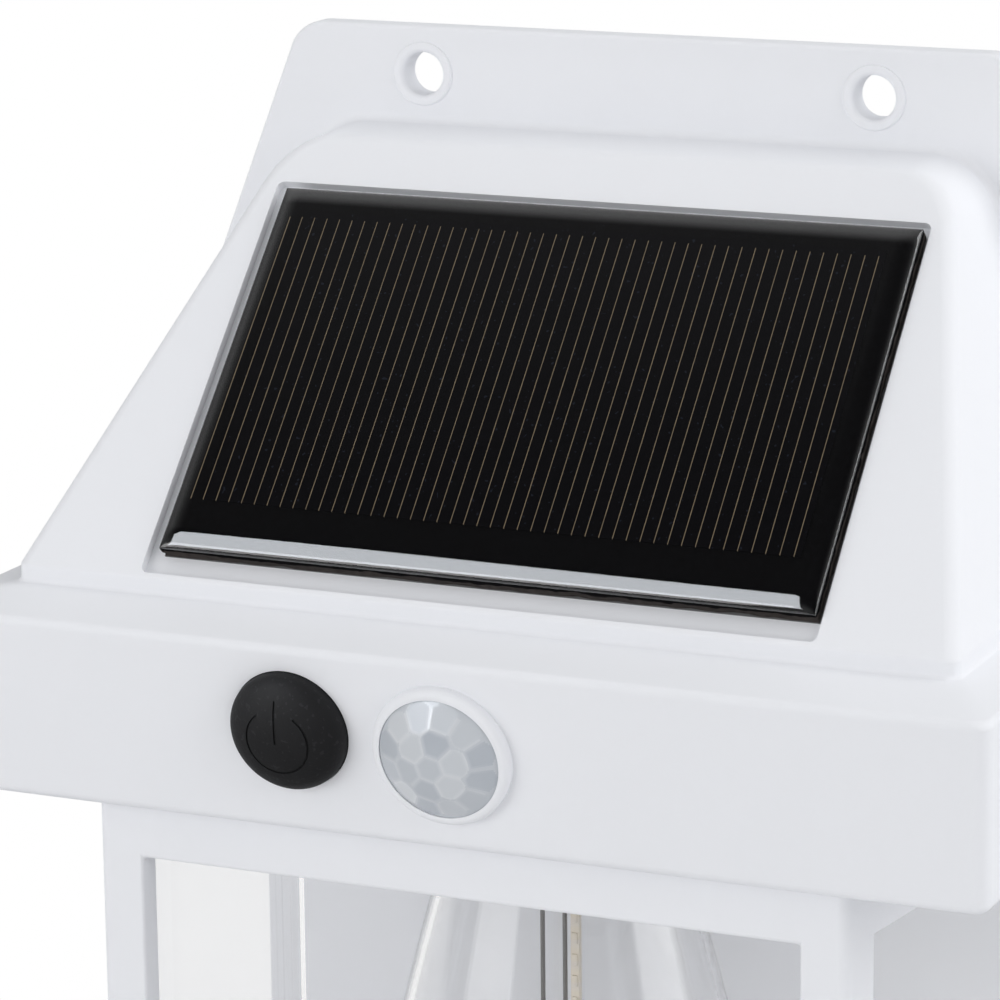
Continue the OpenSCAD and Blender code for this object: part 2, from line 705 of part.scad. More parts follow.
// Two leads from the panel's back to the control board
module panel_leads() for (s = [-1, 1]) color(s < 0 ? "black" : "crimson") {
    x = panel_x + lead_x + s * lead_pitch / 2;
    y = panel_foot - roof_len + lead_y;
    wire([roof_point([x, y, -tray_depth + adhesive_t]), roof_point([x, y, -roof_wall - 6]),
        band_point([x - 3, board_y + 4, -board_back - board_t - 7]),
        band_point([x - 3, board_y + 4, -board_back - board_t])], wire_d);
}

// Rubber dome with a flange behind the band and a stem that meets the switch
module power_button() color("dimgray") on_band() translate([button_x, -button_drop, 0])
    rotate_extrude() let (
        steps = 10,
        rise = button_h * 0.86,
        rim = button_h - rise)
    polygon(concat(
        [[0, plunger_tip + 0.15], [2.2, plunger_tip + 0.15], [2.2, button_back],
            [button_r + button_flange, button_back],
            [button_r + button_flange, button_back + button_flange_t],
            [button_r, button_back + button_flange_t], [button_r, 0]],
        [for (i = [0:steps]) let (a = 90 * i / steps)
            [i == steps ? 0 : button_r * cos(a), rim + rise * sin(a)]]));

module switch_plunger() color("black") on_band() translate([button_x, -button_drop, 0]) {
    translate([0, 0, switch_top - 1.2]) cylinder(h = plunger_tip - switch_top + 1.2, r = plunger_r);
}

module switch_body() color("silver") on_band() translate([button_x, -button_drop, -board_back])
    difference() {
        translate([-switch_side / 2, -switch_side / 2, 0]) cube([switch_side, switch_side, switch_h]);
        translate([0, 0, switch_h - 1.2 - button_travel - fit])
            cylinder(h = 1.2 + button_travel + fit + cut, r = plunger_r + fit);
    }

module control_board() color("darkgreen") on_band() difference() {
    translate([-board_w / 2, board_y - board_h / 2, -board_back - board_t])
        cube([board_w, board_h, board_t]);
    for (s = [-1, 1]) translate([s * board_post_x, board_y, -board_back - board_t - cut])
        cylinder(h = board_t + 2 * cut, d = screw_d + 2 * screw_play);
}

// Face of the board that looks away from the band
module behind_board() on_band() translate([0, board_y, -board_back - board_t])
    rotate([0, 180, 0]) children();

module control_chip() color("black") behind_board() {
    translate([-2, -2, 0.15]) cube([8.6, 4, 1.45]);
    for (i = [0:6]) for (y = [-3, 2]) translate([-1.5 + i * 1.27, y, 0]) cube([0.4, 1, 0.6]);
}

module board_components() color("tan") behind_board() {
    for (i = [0:4]) translate([9 + i * 2.2, 3, 0]) cube([1.25, 2, 0.55]);
    for (i = [0:3]) translate([9 + i * 2.4, -5.5, 0]) cube([1.6, 0.8, 0.5]);
    translate([-8, 1, 0]) cylinder(h = 5, r = 2);
}

module board_screws() color("silver") on_band() for (s = [-1, 1])
    translate([s * board_post_x, board_y, -board_back - board_t - head_t]) rotate([180, 0, 0])
        small_screw(head_t + board_t + thread_len - 1);

// Shallow dome of flat hexagons: one in the middle and rings of 6 and 12 round it
module facet_dome(r, h) {
    ball_r = (r * r + h * h) / (2 * h);
    facet_r = 0.53 * ball_r * facet_step * PI / 180;
    skin = 0.05;
    hull() {
        cylinder(h = skin, r = r);
        for (ring = [0:2]) for (k = [0:max(0, 6 * ring - 1)])
            translate([0, 0, h - ball_r]) rotate([0, facet_step * ring, k * 60 / max(1, ring)])
                translate([0, 0, ball_r - skin]) cylinder(h = skin, r = facet_r, $fn = 6);
    }
}

module sensor_lens() color("aliceblue", 0.7) on_band() translate([lens_x, -sensor_drop, 0])
    difference() {
        union() {
            facet_dome(lens_r, lens_h);
            translate([0, 0, -side_wall - 0.5]) cylinder(h = side_wall + 0.51, r = lens_r);
            translate([0, 0, -side_wall - lens_flange_t])
                cylinder(h = lens_flange_t, r = lens_r + lens_flange_w);
        }
        let (r = lens_r - lens_wall, h = lens_h - lens_wall) {
            translate([0, 0, -side_wall - lens_flange_t - cut])
                cylinder(h = side_wall + lens_flange_t + cut, r = r);
            intersection() {
                translate([0, 0, h - (r * r + h * h) / (2 * h)]) sphere(r = (r * r + h * h) / (2 * h));
                translate([0, 0, -0.01]) cylinder(h = lens_h, r = r);
            }
        }
    }

module sensor_can() color("silver") on_band() translate([lens_x, -sensor_drop, -board_back])
    difference() {
        union() {
            cylinder(h = can_h, r = can_r);
            cylinder(h = 0.4, r = can_r + 0.4);
        }
        translate([-1.9, -1.4, can_h - 0.4]) cube([3.8, 2.8, 0.4 + cut]);
    }

module sensor_window() color("black") on_band()
    translate([lens_x - 1.9, -sensor_drop - 1.4, -board_back + can_h - 0.4]) cube([3.8, 2.8, 0.4]);

module battery_cell() color("seagreen") translate([0, -battery_depth, battery_z])
    rotate([0, 90, 0]) {
        cylinder(h = battery_len, r = battery_r, center = true);
    }

// Socket on the board and the plug of the battery's leads in it
module battery_socket() color("ivory") behind_board() difference() {
    translate([socket_x - 4, -4, 0]) cube([8, 6, socket_d]);
    translate([socket_x - 3.2, -3.2, 0.8]) cube([6.4, 4.4, socket_d]);
}

module battery_plug() color("white") behind_board()
    translate([socket_x - 3.2 + fit, -3.2 + fit, 0.8]) cube([6.4 - 2 * fit, 4.4 - 2 * fit, plug_d]);

// Two leads from the rims of the cell's ends to the plug
module battery_leads() for (s = [-1, 1]) color(s < 0 ? "black" : "crimson") {
    rim = battery_r - wire_d;
    end = [s * battery_len / 2, -battery_depth - rim * 0.8, battery_z - rim * 0.6];
    x = -socket_x + s * 1.3;
    y = board_y - 1;
    z = -board_back - board_t - 0.8 - plug_d;
    wire([end, end + [s * 16, 0, 0], band_point([x, y, z - 12]), band_point([x, y, z])], wire_d, 18);
}

// Outline of the bulb, as [radius, height], drawn in by its wall
function bulb_line(inset) = let (
    shoulder_z = bulb_foot_z + bulb_foot_h,
    steps = 9)
    concat(
        [[neck_r - inset, foot_z]],
        [for (i = [1:steps]) let (t = i / steps)
            [neck_r + (bulb_r - neck_r) * (0.8 * t + 0.2 * sin(90 * t)) - inset,
                foot_z + (shoulder_z - foot_z) * t]],
        [for (i = [1:steps]) let (a = 90 * i / steps)
            [i == steps ? 0 : (bulb_r - inset) * cos(a),
                shoulder_z - (bulb_foot_h - inset) * sin(a)]]);

module bulb_envelope() color("white", 0.35) translate([0, -bulb_depth, 0]) difference() {
    union() {
        rotate_extrude($fn = 72) polygon(concat([[0, foot_z]], bulb_line(0)));
        translate([0, 0, foot_z - 0.01]) cylinder(h = floor_t + bulb_flange_t, r = neck_r);
        translate([0, 0, floor_z]) cylinder(h = bulb_flange_t, r = neck_r + bulb_flange_w);
    }
    rotate_extrude($fn = 72) polygon(concat([[0, foot_z]], bulb_line(bulb_wall)));
    translate([0, 0, foot_z - 0.02]) cylinder(h = floor_t + bulb_flange_t + cut, r = neck_r - bulb_wall);
}

// Collar that holds the bulb's flange on the hood's floor
module bulb_clamp() color("whitesmoke") translate([0, -bulb_depth, floor_z]) difference() {
    union() {
        cylinder(h = clamp_h, r = clamp_ring_r);
        translate([0, 0, clamp_h - clamp_ear_t]) linear_extrude(clamp_ear_t) {
            square([2 * clamp_screw_x, 2 * boss_r], center = true);
            for (s = [-1, 1]) translate([s * clamp_screw_x, 0]) circle(r = boss_r);
        }
    }
    translate([0, 0, -cut]) cylinder(h = bulb_flange_t + cut, r = neck_r + bulb_flange_w + fit);
    translate([0, 0, -cut]) cylinder(h = clamp_h + 2 * cut, r = neck_r - bulb_wall);
    for (s = [-1, 1]) {
        translate([s * clamp_screw_x, 0, -cut])
            cylinder(h = clamp_h - clamp_ear_t + cut, r = boss_r + fit);
        translate([s * clamp_screw_x, 0, clamp_h]) screw_way(clamp_ear_t);
    }
}

module clamp_screws() color("silver") for (s = [-1, 1])
    translate([s * clamp_screw_x, -bulb_depth, light_board_z]) small_screw(clamp_h);

module light_board() color("white") translate([0, -bulb_depth, light_board_z])
    cylinder(h = light_board_t, r = light_board_r);

// Places of the strip and its two leads beside the bulb's axis
lead_xs = [-2.6, 0];
strip_x = 1.3;
strip_foot_z = bulb_foot_z + 9;

module light_strip() color("tan") translate([strip_x - strip_w / 2, -bulb_depth - 0.4, strip_foot_z])
    cube([strip_w, 0.8, light_board_z - strip_foot_z]);

module strip_leads() color("black") for (x = lead_xs)
    translate([x, -bulb_depth, strip_foot_z]) cylinder(h = light_board_z - strip_foot_z, d = lead_d);

module light_board_leads() for (s = [-1, 1]) color(s < 0 ? "black" : "crimson") {
    start = [s * lead_pitch / 2 + 4, -bulb_depth, light_board_z + light_board_t];
    x = s * lead_pitch / 2 + 6;
    wire([start, start + [0, 0, 9], band_point([x, board_y - 5, -board_back - board_t - 9]),
        band_point([x, board_y - 5, -board_back - board_t])], wire_d);
}

// Plan of the lantern, drawn in by an inset, from one depth to another
function plan_half(depth, inset) =
    lantern_half + (lantern_depth - depth) * tan(lantern_flare) - inset / cos(lantern_flare);
function plan_points(inset, back) = let (front = lantern_depth - inset)
    mirrored([[plan_half(back, inset), -back], [plan_half(front, inset), -front]]);
function plan_outline(inset, back, r) = round_outline(plan_points(inset, back), [0, r, r, 0]);

// Distance from the middle to the screws at the rear ends of the rails
rail_screw_x = plan_half(plate_t, frame_t) - 0.6;
// Place of the base's screws in the front corners
base_screw_x = plan_half(lantern_depth - frame_t - 1.5, frame_t) - 1.5;
base_screw_y = lantern_depth - frame_t - 1.5;

// Frame of three windows: the front and two sides, which run back to the wall plate
module lantern_frame() color("whitesmoke") difference() {
    union() {
        difference() {
            translate([0, 0, base_z]) linear_extrude(foot_z - base_z)
                polygon(plan_outline(0, plate_t, lantern_corner_r));
            translate([0, 0, base_z - cut]) linear_extrude(foot_z - base_z + 2 * cut)
                polygon(plan_outline(frame_t, plate_t - cut, 0.5));
        }
        for (s = [-1, 1]) {
            for (z = [rail_boss_z, foot_boss_z]) translate([s * rail_screw_x, -plate_t, z])
                rotate([90, 0, 0]) cylinder(h = thread_len + 2, r = rail_boss_r);
            translate([s * base_screw_x, -base_screw_y, base_z])
                cylinder(h = liner_foot_z - base_z - fit, r = boss_r);
        }
    }
    translate([0, 0, window_foot_z]) linear_extrude(window_top_z - window_foot_z) {
        translate([0, -lantern_depth + frame_t / 2])
            square([2 * (lantern_half - post_front), frame_t + 2 * cut], center = true);
        translate([-lantern_back_half - cut, -lantern_depth + post_side])
            square([2 * (lantern_back_half + cut), lantern_depth - post_side - plate_t + cut]);
    }
    for (s = [-1, 1]) {
        for (z = [rail_boss_z, foot_boss_z]) translate([s * rail_screw_x, -plate_t, z])
            rotate([-90, 0, 0]) pilot(thread_len + 1);
        translate([s * base_screw_x, -base_screw_y, base_z]) rotate([180, 0, 0])
            pilot(liner_foot_z - base_z - fit - 0.8);
    }
}

module clear_liner() color("lightcyan", 0.3) translate([0, 0, liner_foot_z]) {
    h = liner_top_z - liner_foot_z;
    linear_extrude(h) difference() {
        polygon(plan_outline(frame_t + fit, plate_t + fit, 1));
        polygon(plan_outline(frame_t + fit + liner_t, plate_t - cut, 0.5));
    }
    for (s = [-1, 1])
        translate([s * (plan_half(plate_t, frame_t + fit) - liner_fold / 2 - 0.3) - liner_fold / 2,
            -plate_t - fit - liner_t, 0]) cube([liner_fold, liner_t, h]);
}

module lantern_base() color("whitesmoke") difference() {
    union() {
        translate([0, 0, lantern_foot_z]) linear_extrude(base_t)
            polygon(plan_outline(0, plate_t, lantern_corner_r));
        translate([0, 0, base_z]) linear_extrude(1.5) difference() {
            polygon(plan_outline(frame_t + fit + 6, plate_t + 11, 1));
            polygon(plan_outline(frame_t + fit + 7.5, plate_t + 12.5, 1));
        }
    }
    for (s = [-1, 1]) translate([s * base_screw_x, -base_screw_y, lantern_foot_z])
        rotate([180, 0, 0]) screw_way(base_t);
}

module lantern_screws() color("silver") for (s = [-1, 1]) for (z = [rail_boss_z, foot_boss_z])
    translate([s * rail_screw_x, -0.05, z]) rotate([-90, 0, 0]) small_screw(plate_t + thread_len);

module base_screws() color("silver") for (s = [-1, 1])
    translate([s * base_screw_x, -base_screw_y, lantern_foot_z + 0.05]) rotate([180, 0, 0])
        small_screw(base_t + liner_foot_z - base_z - 1.5);

housing();
rear_cover();
rear_cover_seal();
rear_cover_screws();
panel_adhesive();
panel_board();
solar_cells();
panel_resin();
panel_leads();
power_button();
switch_plunger();
switch_body();
control_board();
control_chip();
board_components();
board_screws();
sensor_lens();
sensor_can();
sensor_window();
battery_cell();
battery_leads();
battery_socket();
battery_plug();
bulb_envelope();
bulb_clamp();
clamp_screws();
light_board();
light_strip();
strip_leads();
light_board_leads();
lantern_frame();
clear_liner();
lantern_base();
lantern_screws();
base_screws();
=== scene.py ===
"""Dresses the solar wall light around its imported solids.

A moulded hood carries a solar panel, a push button and a motion lens over a
small lantern with a clear bulb. Sizes are in millimetres in the solids' own
frame: +Z up, +Y into the wall, the origin between the two wall screws.
"""
import logging
import math
from contextlib import contextmanager
from dataclasses import dataclass, field
from enum import Enum
from typing import Callable, Iterator, Sequence, Union

import bmesh
import bpy
from mathutils import Matrix, Vector, noise


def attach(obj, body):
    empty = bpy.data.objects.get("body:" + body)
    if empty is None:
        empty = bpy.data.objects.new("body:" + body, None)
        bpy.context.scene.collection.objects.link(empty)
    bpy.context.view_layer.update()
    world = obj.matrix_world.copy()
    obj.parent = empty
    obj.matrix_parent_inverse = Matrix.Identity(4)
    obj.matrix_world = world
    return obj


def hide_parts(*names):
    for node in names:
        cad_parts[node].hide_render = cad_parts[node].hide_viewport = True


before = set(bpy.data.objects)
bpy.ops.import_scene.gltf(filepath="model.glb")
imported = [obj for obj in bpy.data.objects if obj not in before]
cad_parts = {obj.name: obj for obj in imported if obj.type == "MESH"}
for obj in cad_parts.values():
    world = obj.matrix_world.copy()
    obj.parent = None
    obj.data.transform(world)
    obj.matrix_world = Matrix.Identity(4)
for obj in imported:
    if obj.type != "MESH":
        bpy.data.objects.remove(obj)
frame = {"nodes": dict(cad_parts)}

LOG = logging.getLogger("wall_light")
MM = 0.001
Colour = tuple[float, float, float]
Point = tuple[float, float, float]
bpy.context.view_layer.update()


class Slot(Enum):
    """The record's material slots, named next to each new piece's finish."""

    WHITE = "white_plastic"
    RUBBER = "black_rubber"
    STEEL = "steel"
    BOARD = "panel_board"
    RESIN = "resin"
    LENS = "milky_lens"
    CLEAR = "clear_plastic"
    STRIP = "light_strip"


class Body(Enum):
    """The bodies that pieces ride on."""

    LIGHT = "light"
    BUTTON = "button"


# ---- Shader maths ----


class Value:
    """A socket in a node tree, on which Python's operators add Math nodes."""

    def __init__(self, shader: "Shader", socket: bpy.types.NodeSocket) -> None:
        """Keeps the shader that owns the tree, and the socket."""
        self.shader = shader
        self.socket = socket

    def maths(self, operation: str, *values: Union["Value", float]) -> "Value":
        """Adds a Math node and returns its result."""
        return self.shader.add("ShaderNodeMath", {"operation": operation}, dict(enumerate(values)))

    def __add__(self, other: Union["Value", float]) -> "Value":
        """self + other."""
        return self.maths("ADD", self, other)

    def __sub__(self, other: Union["Value", float]) -> "Value":
        """self - other."""
        return self.maths("SUBTRACT", self, other)

    def __rsub__(self, other: Union["Value", float]) -> "Value":
        """other - self."""
        return self.maths("SUBTRACT", other, self)

    def __mul__(self, other: Union["Value", float]) -> "Value":
        """self * other."""
        return self.maths("MULTIPLY", self, other)

    def __truediv__(self, other: Union["Value", float]) -> "Value":
        """self / other."""
        return self.maths("DIVIDE", self, other)

    def __gt__(self, other: Union["Value", float]) -> "Value":
        """1 where self is above other, else 0."""
        return self.maths("GREATER_THAN", self, other)

    def __lt__(self, other: Union["Value", float]) -> "Value":
        """1 where self is below other, else 0."""
        return self.maths("LESS_THAN", self, other)

    def __abs__(self) -> "Value":
        """Size without sign."""
        return self.maths("ABSOLUTE", self)

    def fraction(self) -> "Value":
        """The part after the decimal point."""
        return self.maths("FRACT", self)

    def either(self, other: Union["Value", float]) -> "Value":
        """The larger of two values."""
        return self.maths("MAXIMUM", self, other)

    __radd__ = __add__
    __rmul__ = __mul__


class Shader:
    """The node tree of a new material, round its Principled shader, or of a new world."""

    def __init__(self, owner: Union[bpy.types.Material, bpy.types.World]) -> None:
        """Starts the owner's nodes.

        Args:
            owner: the new material or world.
        """
        owner.use_nodes = True
        self.owner = owner
        self.tree = owner.node_tree
        self.principled = self.tree.nodes.get("Principled BSDF")
        self.output = next(node for node in self.tree.nodes if node.type.startswith("OUTPUT"))

    def add(self, kind: str, settings: dict, inputs: dict, out: Union[int, str] = 0) -> Value:
        """Adds any node.

        Args:
            kind: Blender's name of the node type.
            settings: properties set before the sockets.
            inputs: socket index or name to a value or a link.
            out: index or name of the output that is returned.

        Returns:
            The chosen output.
        """
        node = self.tree.nodes.new(kind)
        for key, setting in settings.items():
            setattr(node, key, setting)
        for key, value in inputs.items():
            self.feed(node.inputs[key], value)
        return Value(self, node.outputs[out])

    def feed(self, socket: bpy.types.NodeSocket, value: Union[Value, float, Sequence[float]]) -> None:
        """Links a value into a socket, or sets a constant on it.

        Args:
            socket: the input.
            value: a link, a number, a colour or a vector.
        """
        if isinstance(value, Value):
            self.tree.links.new(value.socket, socket)
        elif isinstance(value, (tuple, list)) and len(value) == 3 and socket.type == "RGBA":
            socket.default_value = (*value, 1.0)
        else:
            socket.default_value = value

    def set(self, **values: Union[Value, float, Sequence[float]]) -> None:
        """Feeds the Principled shader's sockets, named with _ for a space."""
        for name, value in values.items():
            self.feed(self.principled.inputs[name.replace("_", " ")], value)

    def place(self, turn: Point = (0.0, 0.0, 0.0), stretch: Point = (1.0, 1.0, 1.0)) -> Value:
        """Object coordinates, turned and stretched by a Mapping node."""
        coordinates = self.add("ShaderNodeTexCoord", {}, {}, "Object")
        return self.add("ShaderNodeMapping", {}, {"Vector": coordinates, "Rotation": turn, "Scale": stretch})

    def axis(self, which: str, vector: Value) -> Value:
        """One of a vector's parts, in millimetres."""
        return self.add("ShaderNodeSeparateXYZ", {}, {0: vector}, which) * (1 / MM)

    def grain(self, scale: float, detail: float = 3.0, stretch: Point = (1.0, 1.0, 1.0)) -> Value:
        """Noise of a given scale per metre, about 0.5."""
        return self.add("ShaderNodeTexNoise", {"noise_dimensions": "3D"},
                        {"Vector": self.place(stretch=stretch), "Scale": scale, "Detail": detail}, "Fac")

    def ray(self, kind: str) -> Value:
        """1 for rays of a kind, such as Camera."""
        return self.add("ShaderNodeLightPath", {}, {}, f"Is {kind} Ray")

    def blend(self, mask: Value, first: Union[Value, Colour], second: Union[Value, Colour]) -> Value:
        """A colour mix: first where the mask is 0, second where it is 1."""
        return self.add("ShaderNodeMix", {"data_type": "RGBA"}, {0: mask, 6: first, 7: second}, 2)

    def bump(self, height: Value, depth: float, strength: float = 1.0) -> Value:
        """A normal from a height of 0 to 1 and its depth in millimetres."""
        inputs = {"Strength": strength, "Distance": depth * MM, "Height": height}
        return self.add("ShaderNodeBump", {}, inputs, "Normal")

    def let_light_through(self, tint: Colour) -> None:
        """Puts a clear shader in for light on its way to a surface behind, direct or bounced."""
        clear = self.add("ShaderNodeBsdfTransparent", {}, {"Color": tint})
        self.swap_for(self.ray("Shadow").either(self.ray("Diffuse")), clear)

    def swap_for(self, mask: Value, other: Value) -> None:
        """Shows another shader where the mask is 1.

        Args:
            mask: 0 to 1.
            other: the shader that takes the place.
        """
        shown = Value(self, self.output.inputs["Surface"].links[0].from_socket)
        mixed = self.add("ShaderNodeMixShader", {}, {0: mask, 1: shown, 2: other})
        self.tree.links.new(mixed.socket, self.output.inputs["Surface"])


# ---- Finishes ----

MADE: dict[str, bpy.types.Material] = {}


@dataclass(frozen=True)
class Finish:
    """A named finish, made once and shared by its pieces."""

    name: str

    def paint(self, shader: Shader) -> None:
        """Builds the finish's nodes."""
        raise NotImplementedError

    def material(self) -> bpy.types.Material:
        """The finished material, built on first use.

        Returns:
            The material, the same one for each piece.
        """
        if self.name not in MADE:
            MADE[self.name] = bpy.data.materials.new(self.name)
            self.paint(Shader(MADE[self.name]))
        return MADE[self.name]


@dataclass(frozen=True)
class Moulded(Finish):
    """Moulded plastic or rubber: cloudy tone, uneven gloss and a fine skin."""

    colour: Colour
    shade: Colour
    rough: float = 0.42
    uneven: float = 0.12
    cloud: float = 60.0
    skin: float = 2600.0
    skin_depth: float = 0.006
    gloss: float = 0.5
    speck: float = 0.0

    def paint(self, shader: Shader) -> None:
        """Cloudy colour, a roughness that wanders with it, and a fine bump.

        Args:
            shader: the new material's nodes.
        """
        cloud = shader.grain(self.cloud, 4.0)
        skin = shader.grain(self.skin, 2.0)
        tone = shader.blend(cloud, self.colour, self.shade)
        if self.speck:
            dust = shader.grain(self.skin * 0.6, 1.0) > 0.66
            tone = shader.blend(dust * self.speck, tone, tuple(min(1.0, 4 * c) for c in self.colour))
        shader.set(Base_Color=tone, Roughness=self.rough + (cloud - 0.5) * self.uneven + (skin - 0.5) * 0.08,
                   Normal=shader.bump(skin, self.skin_depth), Specular_IOR_Level=self.gloss)


@dataclass(frozen=True)
class Clear(Finish):
    """Clear plastic that lets lamps through, with faint waves in its gloss."""

    tint: Colour
    light_tint: Colour
    rough: float = 0.005
    index: float = 1.49
    wave: float = 60.0
    wave_depth: float = 0.002
    coat: float = 0.0

    def paint(self, shader: Shader) -> None:
        """Full transmission, with a faint wave in the surface.

        Args:
            shader: the new material's nodes.
        """
        wave = shader.grain(self.wave, 2.0)
        shader.set(Base_Color=shader.blend(wave, self.tint, tuple(c * 0.985 for c in self.tint)),
                   Roughness=self.rough + wave * 0.015, Normal=shader.bump(wave, self.wave_depth),
                   Transmission_Weight=1.0, IOR=self.index, Coat_Weight=self.coat, Coat_Roughness=0.01)
        shader.let_light_through(self.light_tint)


@dataclass(frozen=True)
class Fingers:
    """The thin lines that run up the panel's slope."""

    slope: float = 46.6
    ridge: float = 12.46
    pitch: float = 1.479
    first: float = -33.65
    last: float = 32.91
    top: float = -11.4
    foot: float = -46.6
    line: float = 0.085

    def turned(self, shader: Shader) -> Value:
        """Coordinates with Y up the slope and Z out of the panel."""
        return shader.place(turn=(-math.radians(self.slope), 0.0, 0.0))

    def mask(self, shader: Shader) -> Value:
        """Lines by X, cut off by the distance down the slope.

        Args:
            shader: the material's nodes.

        Returns:
            1 on a line, else 0.
        """
        turned = self.turned(shader)
        x, down = shader.axis("X", turned), shader.axis("Y", turned) + self.ridge
        off = abs(((x - (self.first - self.pitch / 2)) / self.pitch).fraction() - 0.5) * self.pitch
        inside = (x > self.first - 0.4) * (x < self.last + 0.4) * (down < self.top) * (down > self.foot)
        return (off < self.line / 2) * inside

    def tan(self, shader: Shader) -> Value:
        """The lines' uneven colour."""
        return shader.blend(shader.grain(500.0), (0.30, 0.235, 0.15), (0.15, 0.12, 0.085))


@dataclass(frozen=True)
class CellSheet(Finish):
    """Black solar cells with thin tan fingers."""

    fingers: Fingers = Fingers()

    def paint(self, shader: Shader) -> None:
        """The lines on mottled black with a few paler specks.

        Args:
            shader: the new material's nodes.
        """
        mottle = shader.grain(900.0, 2.0)
        spots = (shader.grain(2400.0, 0.0) > 0.79) * 0.5
        black = shader.blend(mottle, (0.0020, 0.0020, 0.0026), (0.0042, 0.0040, 0.0050))
        base = shader.blend(spots, black, (0.022, 0.026, 0.038))
        lines, tan = self.fingers.mask(shader), self.fingers.tan(shader)
        shader.set(Base_Color=shader.blend(lines, base, tan), Roughness=0.35 + mottle * 0.1,
                   Specular_IOR_Level=0.0)


@dataclass(frozen=True)
class CutBoard(Finish):
    """Black laminate: a flat black face and a rough, dusty brown cut edge."""

    facing: float = 0.6
    top: float = 5.38
    # Depth of the painted dark band at the top of the cut edge.
    skin: float = 0.62
    fingers: Fingers = Fingers()

    def paint(self, shader: Shader) -> None:
        """The lines on the black face, and brown dust on the edge, with a ragged band at the edge's top painted
        black as a painted dark reflection below the resin's bright stripe.

        Args:
            shader: the new material's nodes.
        """
        dust = shader.grain(1500.0, 4.0)
        face = shader.axis("Z", shader.add("ShaderNodeNewGeometry", {}, {}, "Normal")) * MM > self.facing
        lines = self.fingers.mask(shader) * face
        black = shader.blend(lines, (0.0016, 0.0016, 0.0020), self.fingers.tan(shader))
        brown = shader.blend(dust, (0.016, 0.0145, 0.014), (0.075, 0.065, 0.060))
        depth = self.top - shader.axis("Z", self.fingers.turned(shader))
        # Painted dark reflection: a ragged band at the top of the cut edge is painted black, below the resin's
        # bright stripe.
        skin = (depth + (shader.grain(700.0, 3.0) - 0.5) * 0.9) < self.skin
        shader.set(Base_Color=shader.blend(face.either(skin), brown, black),
                   Roughness=0.75 + dust * 0.2, Normal=shader.bump(dust, 0.05), Specular_IOR_Level=0.05)


@dataclass(frozen=True)
class MilkyLens(Finish):
    """Thin milky plastic, bluish grey where it is thin, with a soft gloss."""

    def paint(self, shader: Shader) -> None:
        """A milk tone with painted shade that differs from facet to facet, and a painted highlight along each
        seam between facets and faintly over the smooth rim.

        Args:
            shader: the new material's nodes.
        """
        cloud = shader.grain(260.0, 3.0)
        facet, seam = (shader.add("ShaderNodeAttribute", {"attribute_name": name}, {}, "Fac")
                       for name in ("facet", "seam"))
        # Painted shade: each facet gets its own lighter or darker milk tone, as if it caught the light
        # differently.
        milk = shader.blend(facet, (0.44, 0.475, 0.525), (0.62, 0.645, 0.675))
        milk = shader.blend(cloud * 0.3, milk, (0.66, 0.68, 0.70))
        # Painted highlight: paler along each seam between facets and faintly over the smooth rim.
        shader.set(Base_Color=shader.blend(seam * 0.4, milk, (0.76, 0.77, 0.79)),
                   Roughness=0.16 + cloud * 0.08, Normal=shader.bump(shader.grain(1800.0, 1.0), 0.004),
                   Specular_IOR_Level=0.7)


@dataclass(frozen=True)
class Metal(Finish):
    """Plated or drawn metal with fine turning marks."""

    colour: Colour
    rough: float = 0.3
    metallic: float = 1.0

    def paint(self, shader: Shader) -> None:
        """Metal with a stretched grain in its roughness and skin.

        Args:
            shader: the new material's nodes.
        """
        marks = shader.grain(1400.0, 3.0, (1.0, 1.0, 6.0))
        dull = shader.grain(300.0, 2.0)
        shader.set(Base_Color=shader.blend(dull, self.colour, tuple(c * 0.82 for c in self.colour)),
                   Metallic=self.metallic, Roughness=self.rough + marks * 0.15,
                   Normal=shader.bump(marks, 0.006))


@dataclass(frozen=True)
class BoardFinish(Finish):
    """Solder mask over copper tracks."""

    mask: Colour
    track: Colour
    pitch: float = 1.6

    def paint(self, shader: Shader) -> None:
        """Tracks as bands between noise and a fixed pitch.

        Args:
            shader: the new material's nodes.
        """
        place = shader.place()
        wander = shader.grain(260.0, 1.0) * 2.4
        bands = ((shader.axis("X", place) + wander) / self.pitch).fraction() < 0.32
        runs = shader.grain(140.0, 0.0) > 0.48
        shader.set(Base_Color=shader.blend(bands * runs, self.mask, self.track),
                   Roughness=0.38 + runs * 0.06, Normal=shader.bump(bands * runs, 0.03))


@dataclass(frozen=True)
class Wires(Finish):
    """Insulated wires of one node, red to the right of a line and black to its left."""

    divide: float

    def paint(self, shader: Shader) -> None:
        """Colour by X, with a slightly uneven skin.

        Args:
            shader: the new material's nodes.
        """
        side = shader.axis("X", shader.place()) > self.divide
        skin = shader.grain(1200.0, 2.0)
        shader.set(Base_Color=shader.blend(side, (0.018, 0.018, 0.02), (0.42, 0.02, 0.02)),
                   Roughness=0.38 + skin * 0.12, Normal=shader.bump(skin, 0.02))


@dataclass(frozen=True)
class Glow(Finish):
    """Tan phosphor over a row of small light chips."""

    pitch: float = 2.4

    def paint(self, shader: Shader) -> None:
        """Tan coat, yellower over each chip.

        Args:
            shader: the new material's nodes.
        """
        step = (shader.axis("Z", shader.place()) / self.pitch).fraction()
        chip = abs(step - 0.5) < 0.3
        cloud = shader.grain(900.0, 2.0)
        tan = shader.blend(cloud, (0.82, 0.76, 0.68), (0.74, 0.68, 0.60))
        shader.set(Base_Color=shader.blend(chip * 0.6, tan, (0.80, 0.72, 0.58)),
                   Roughness=0.5 + cloud * 0.15, Normal=shader.bump(cloud, 0.02))


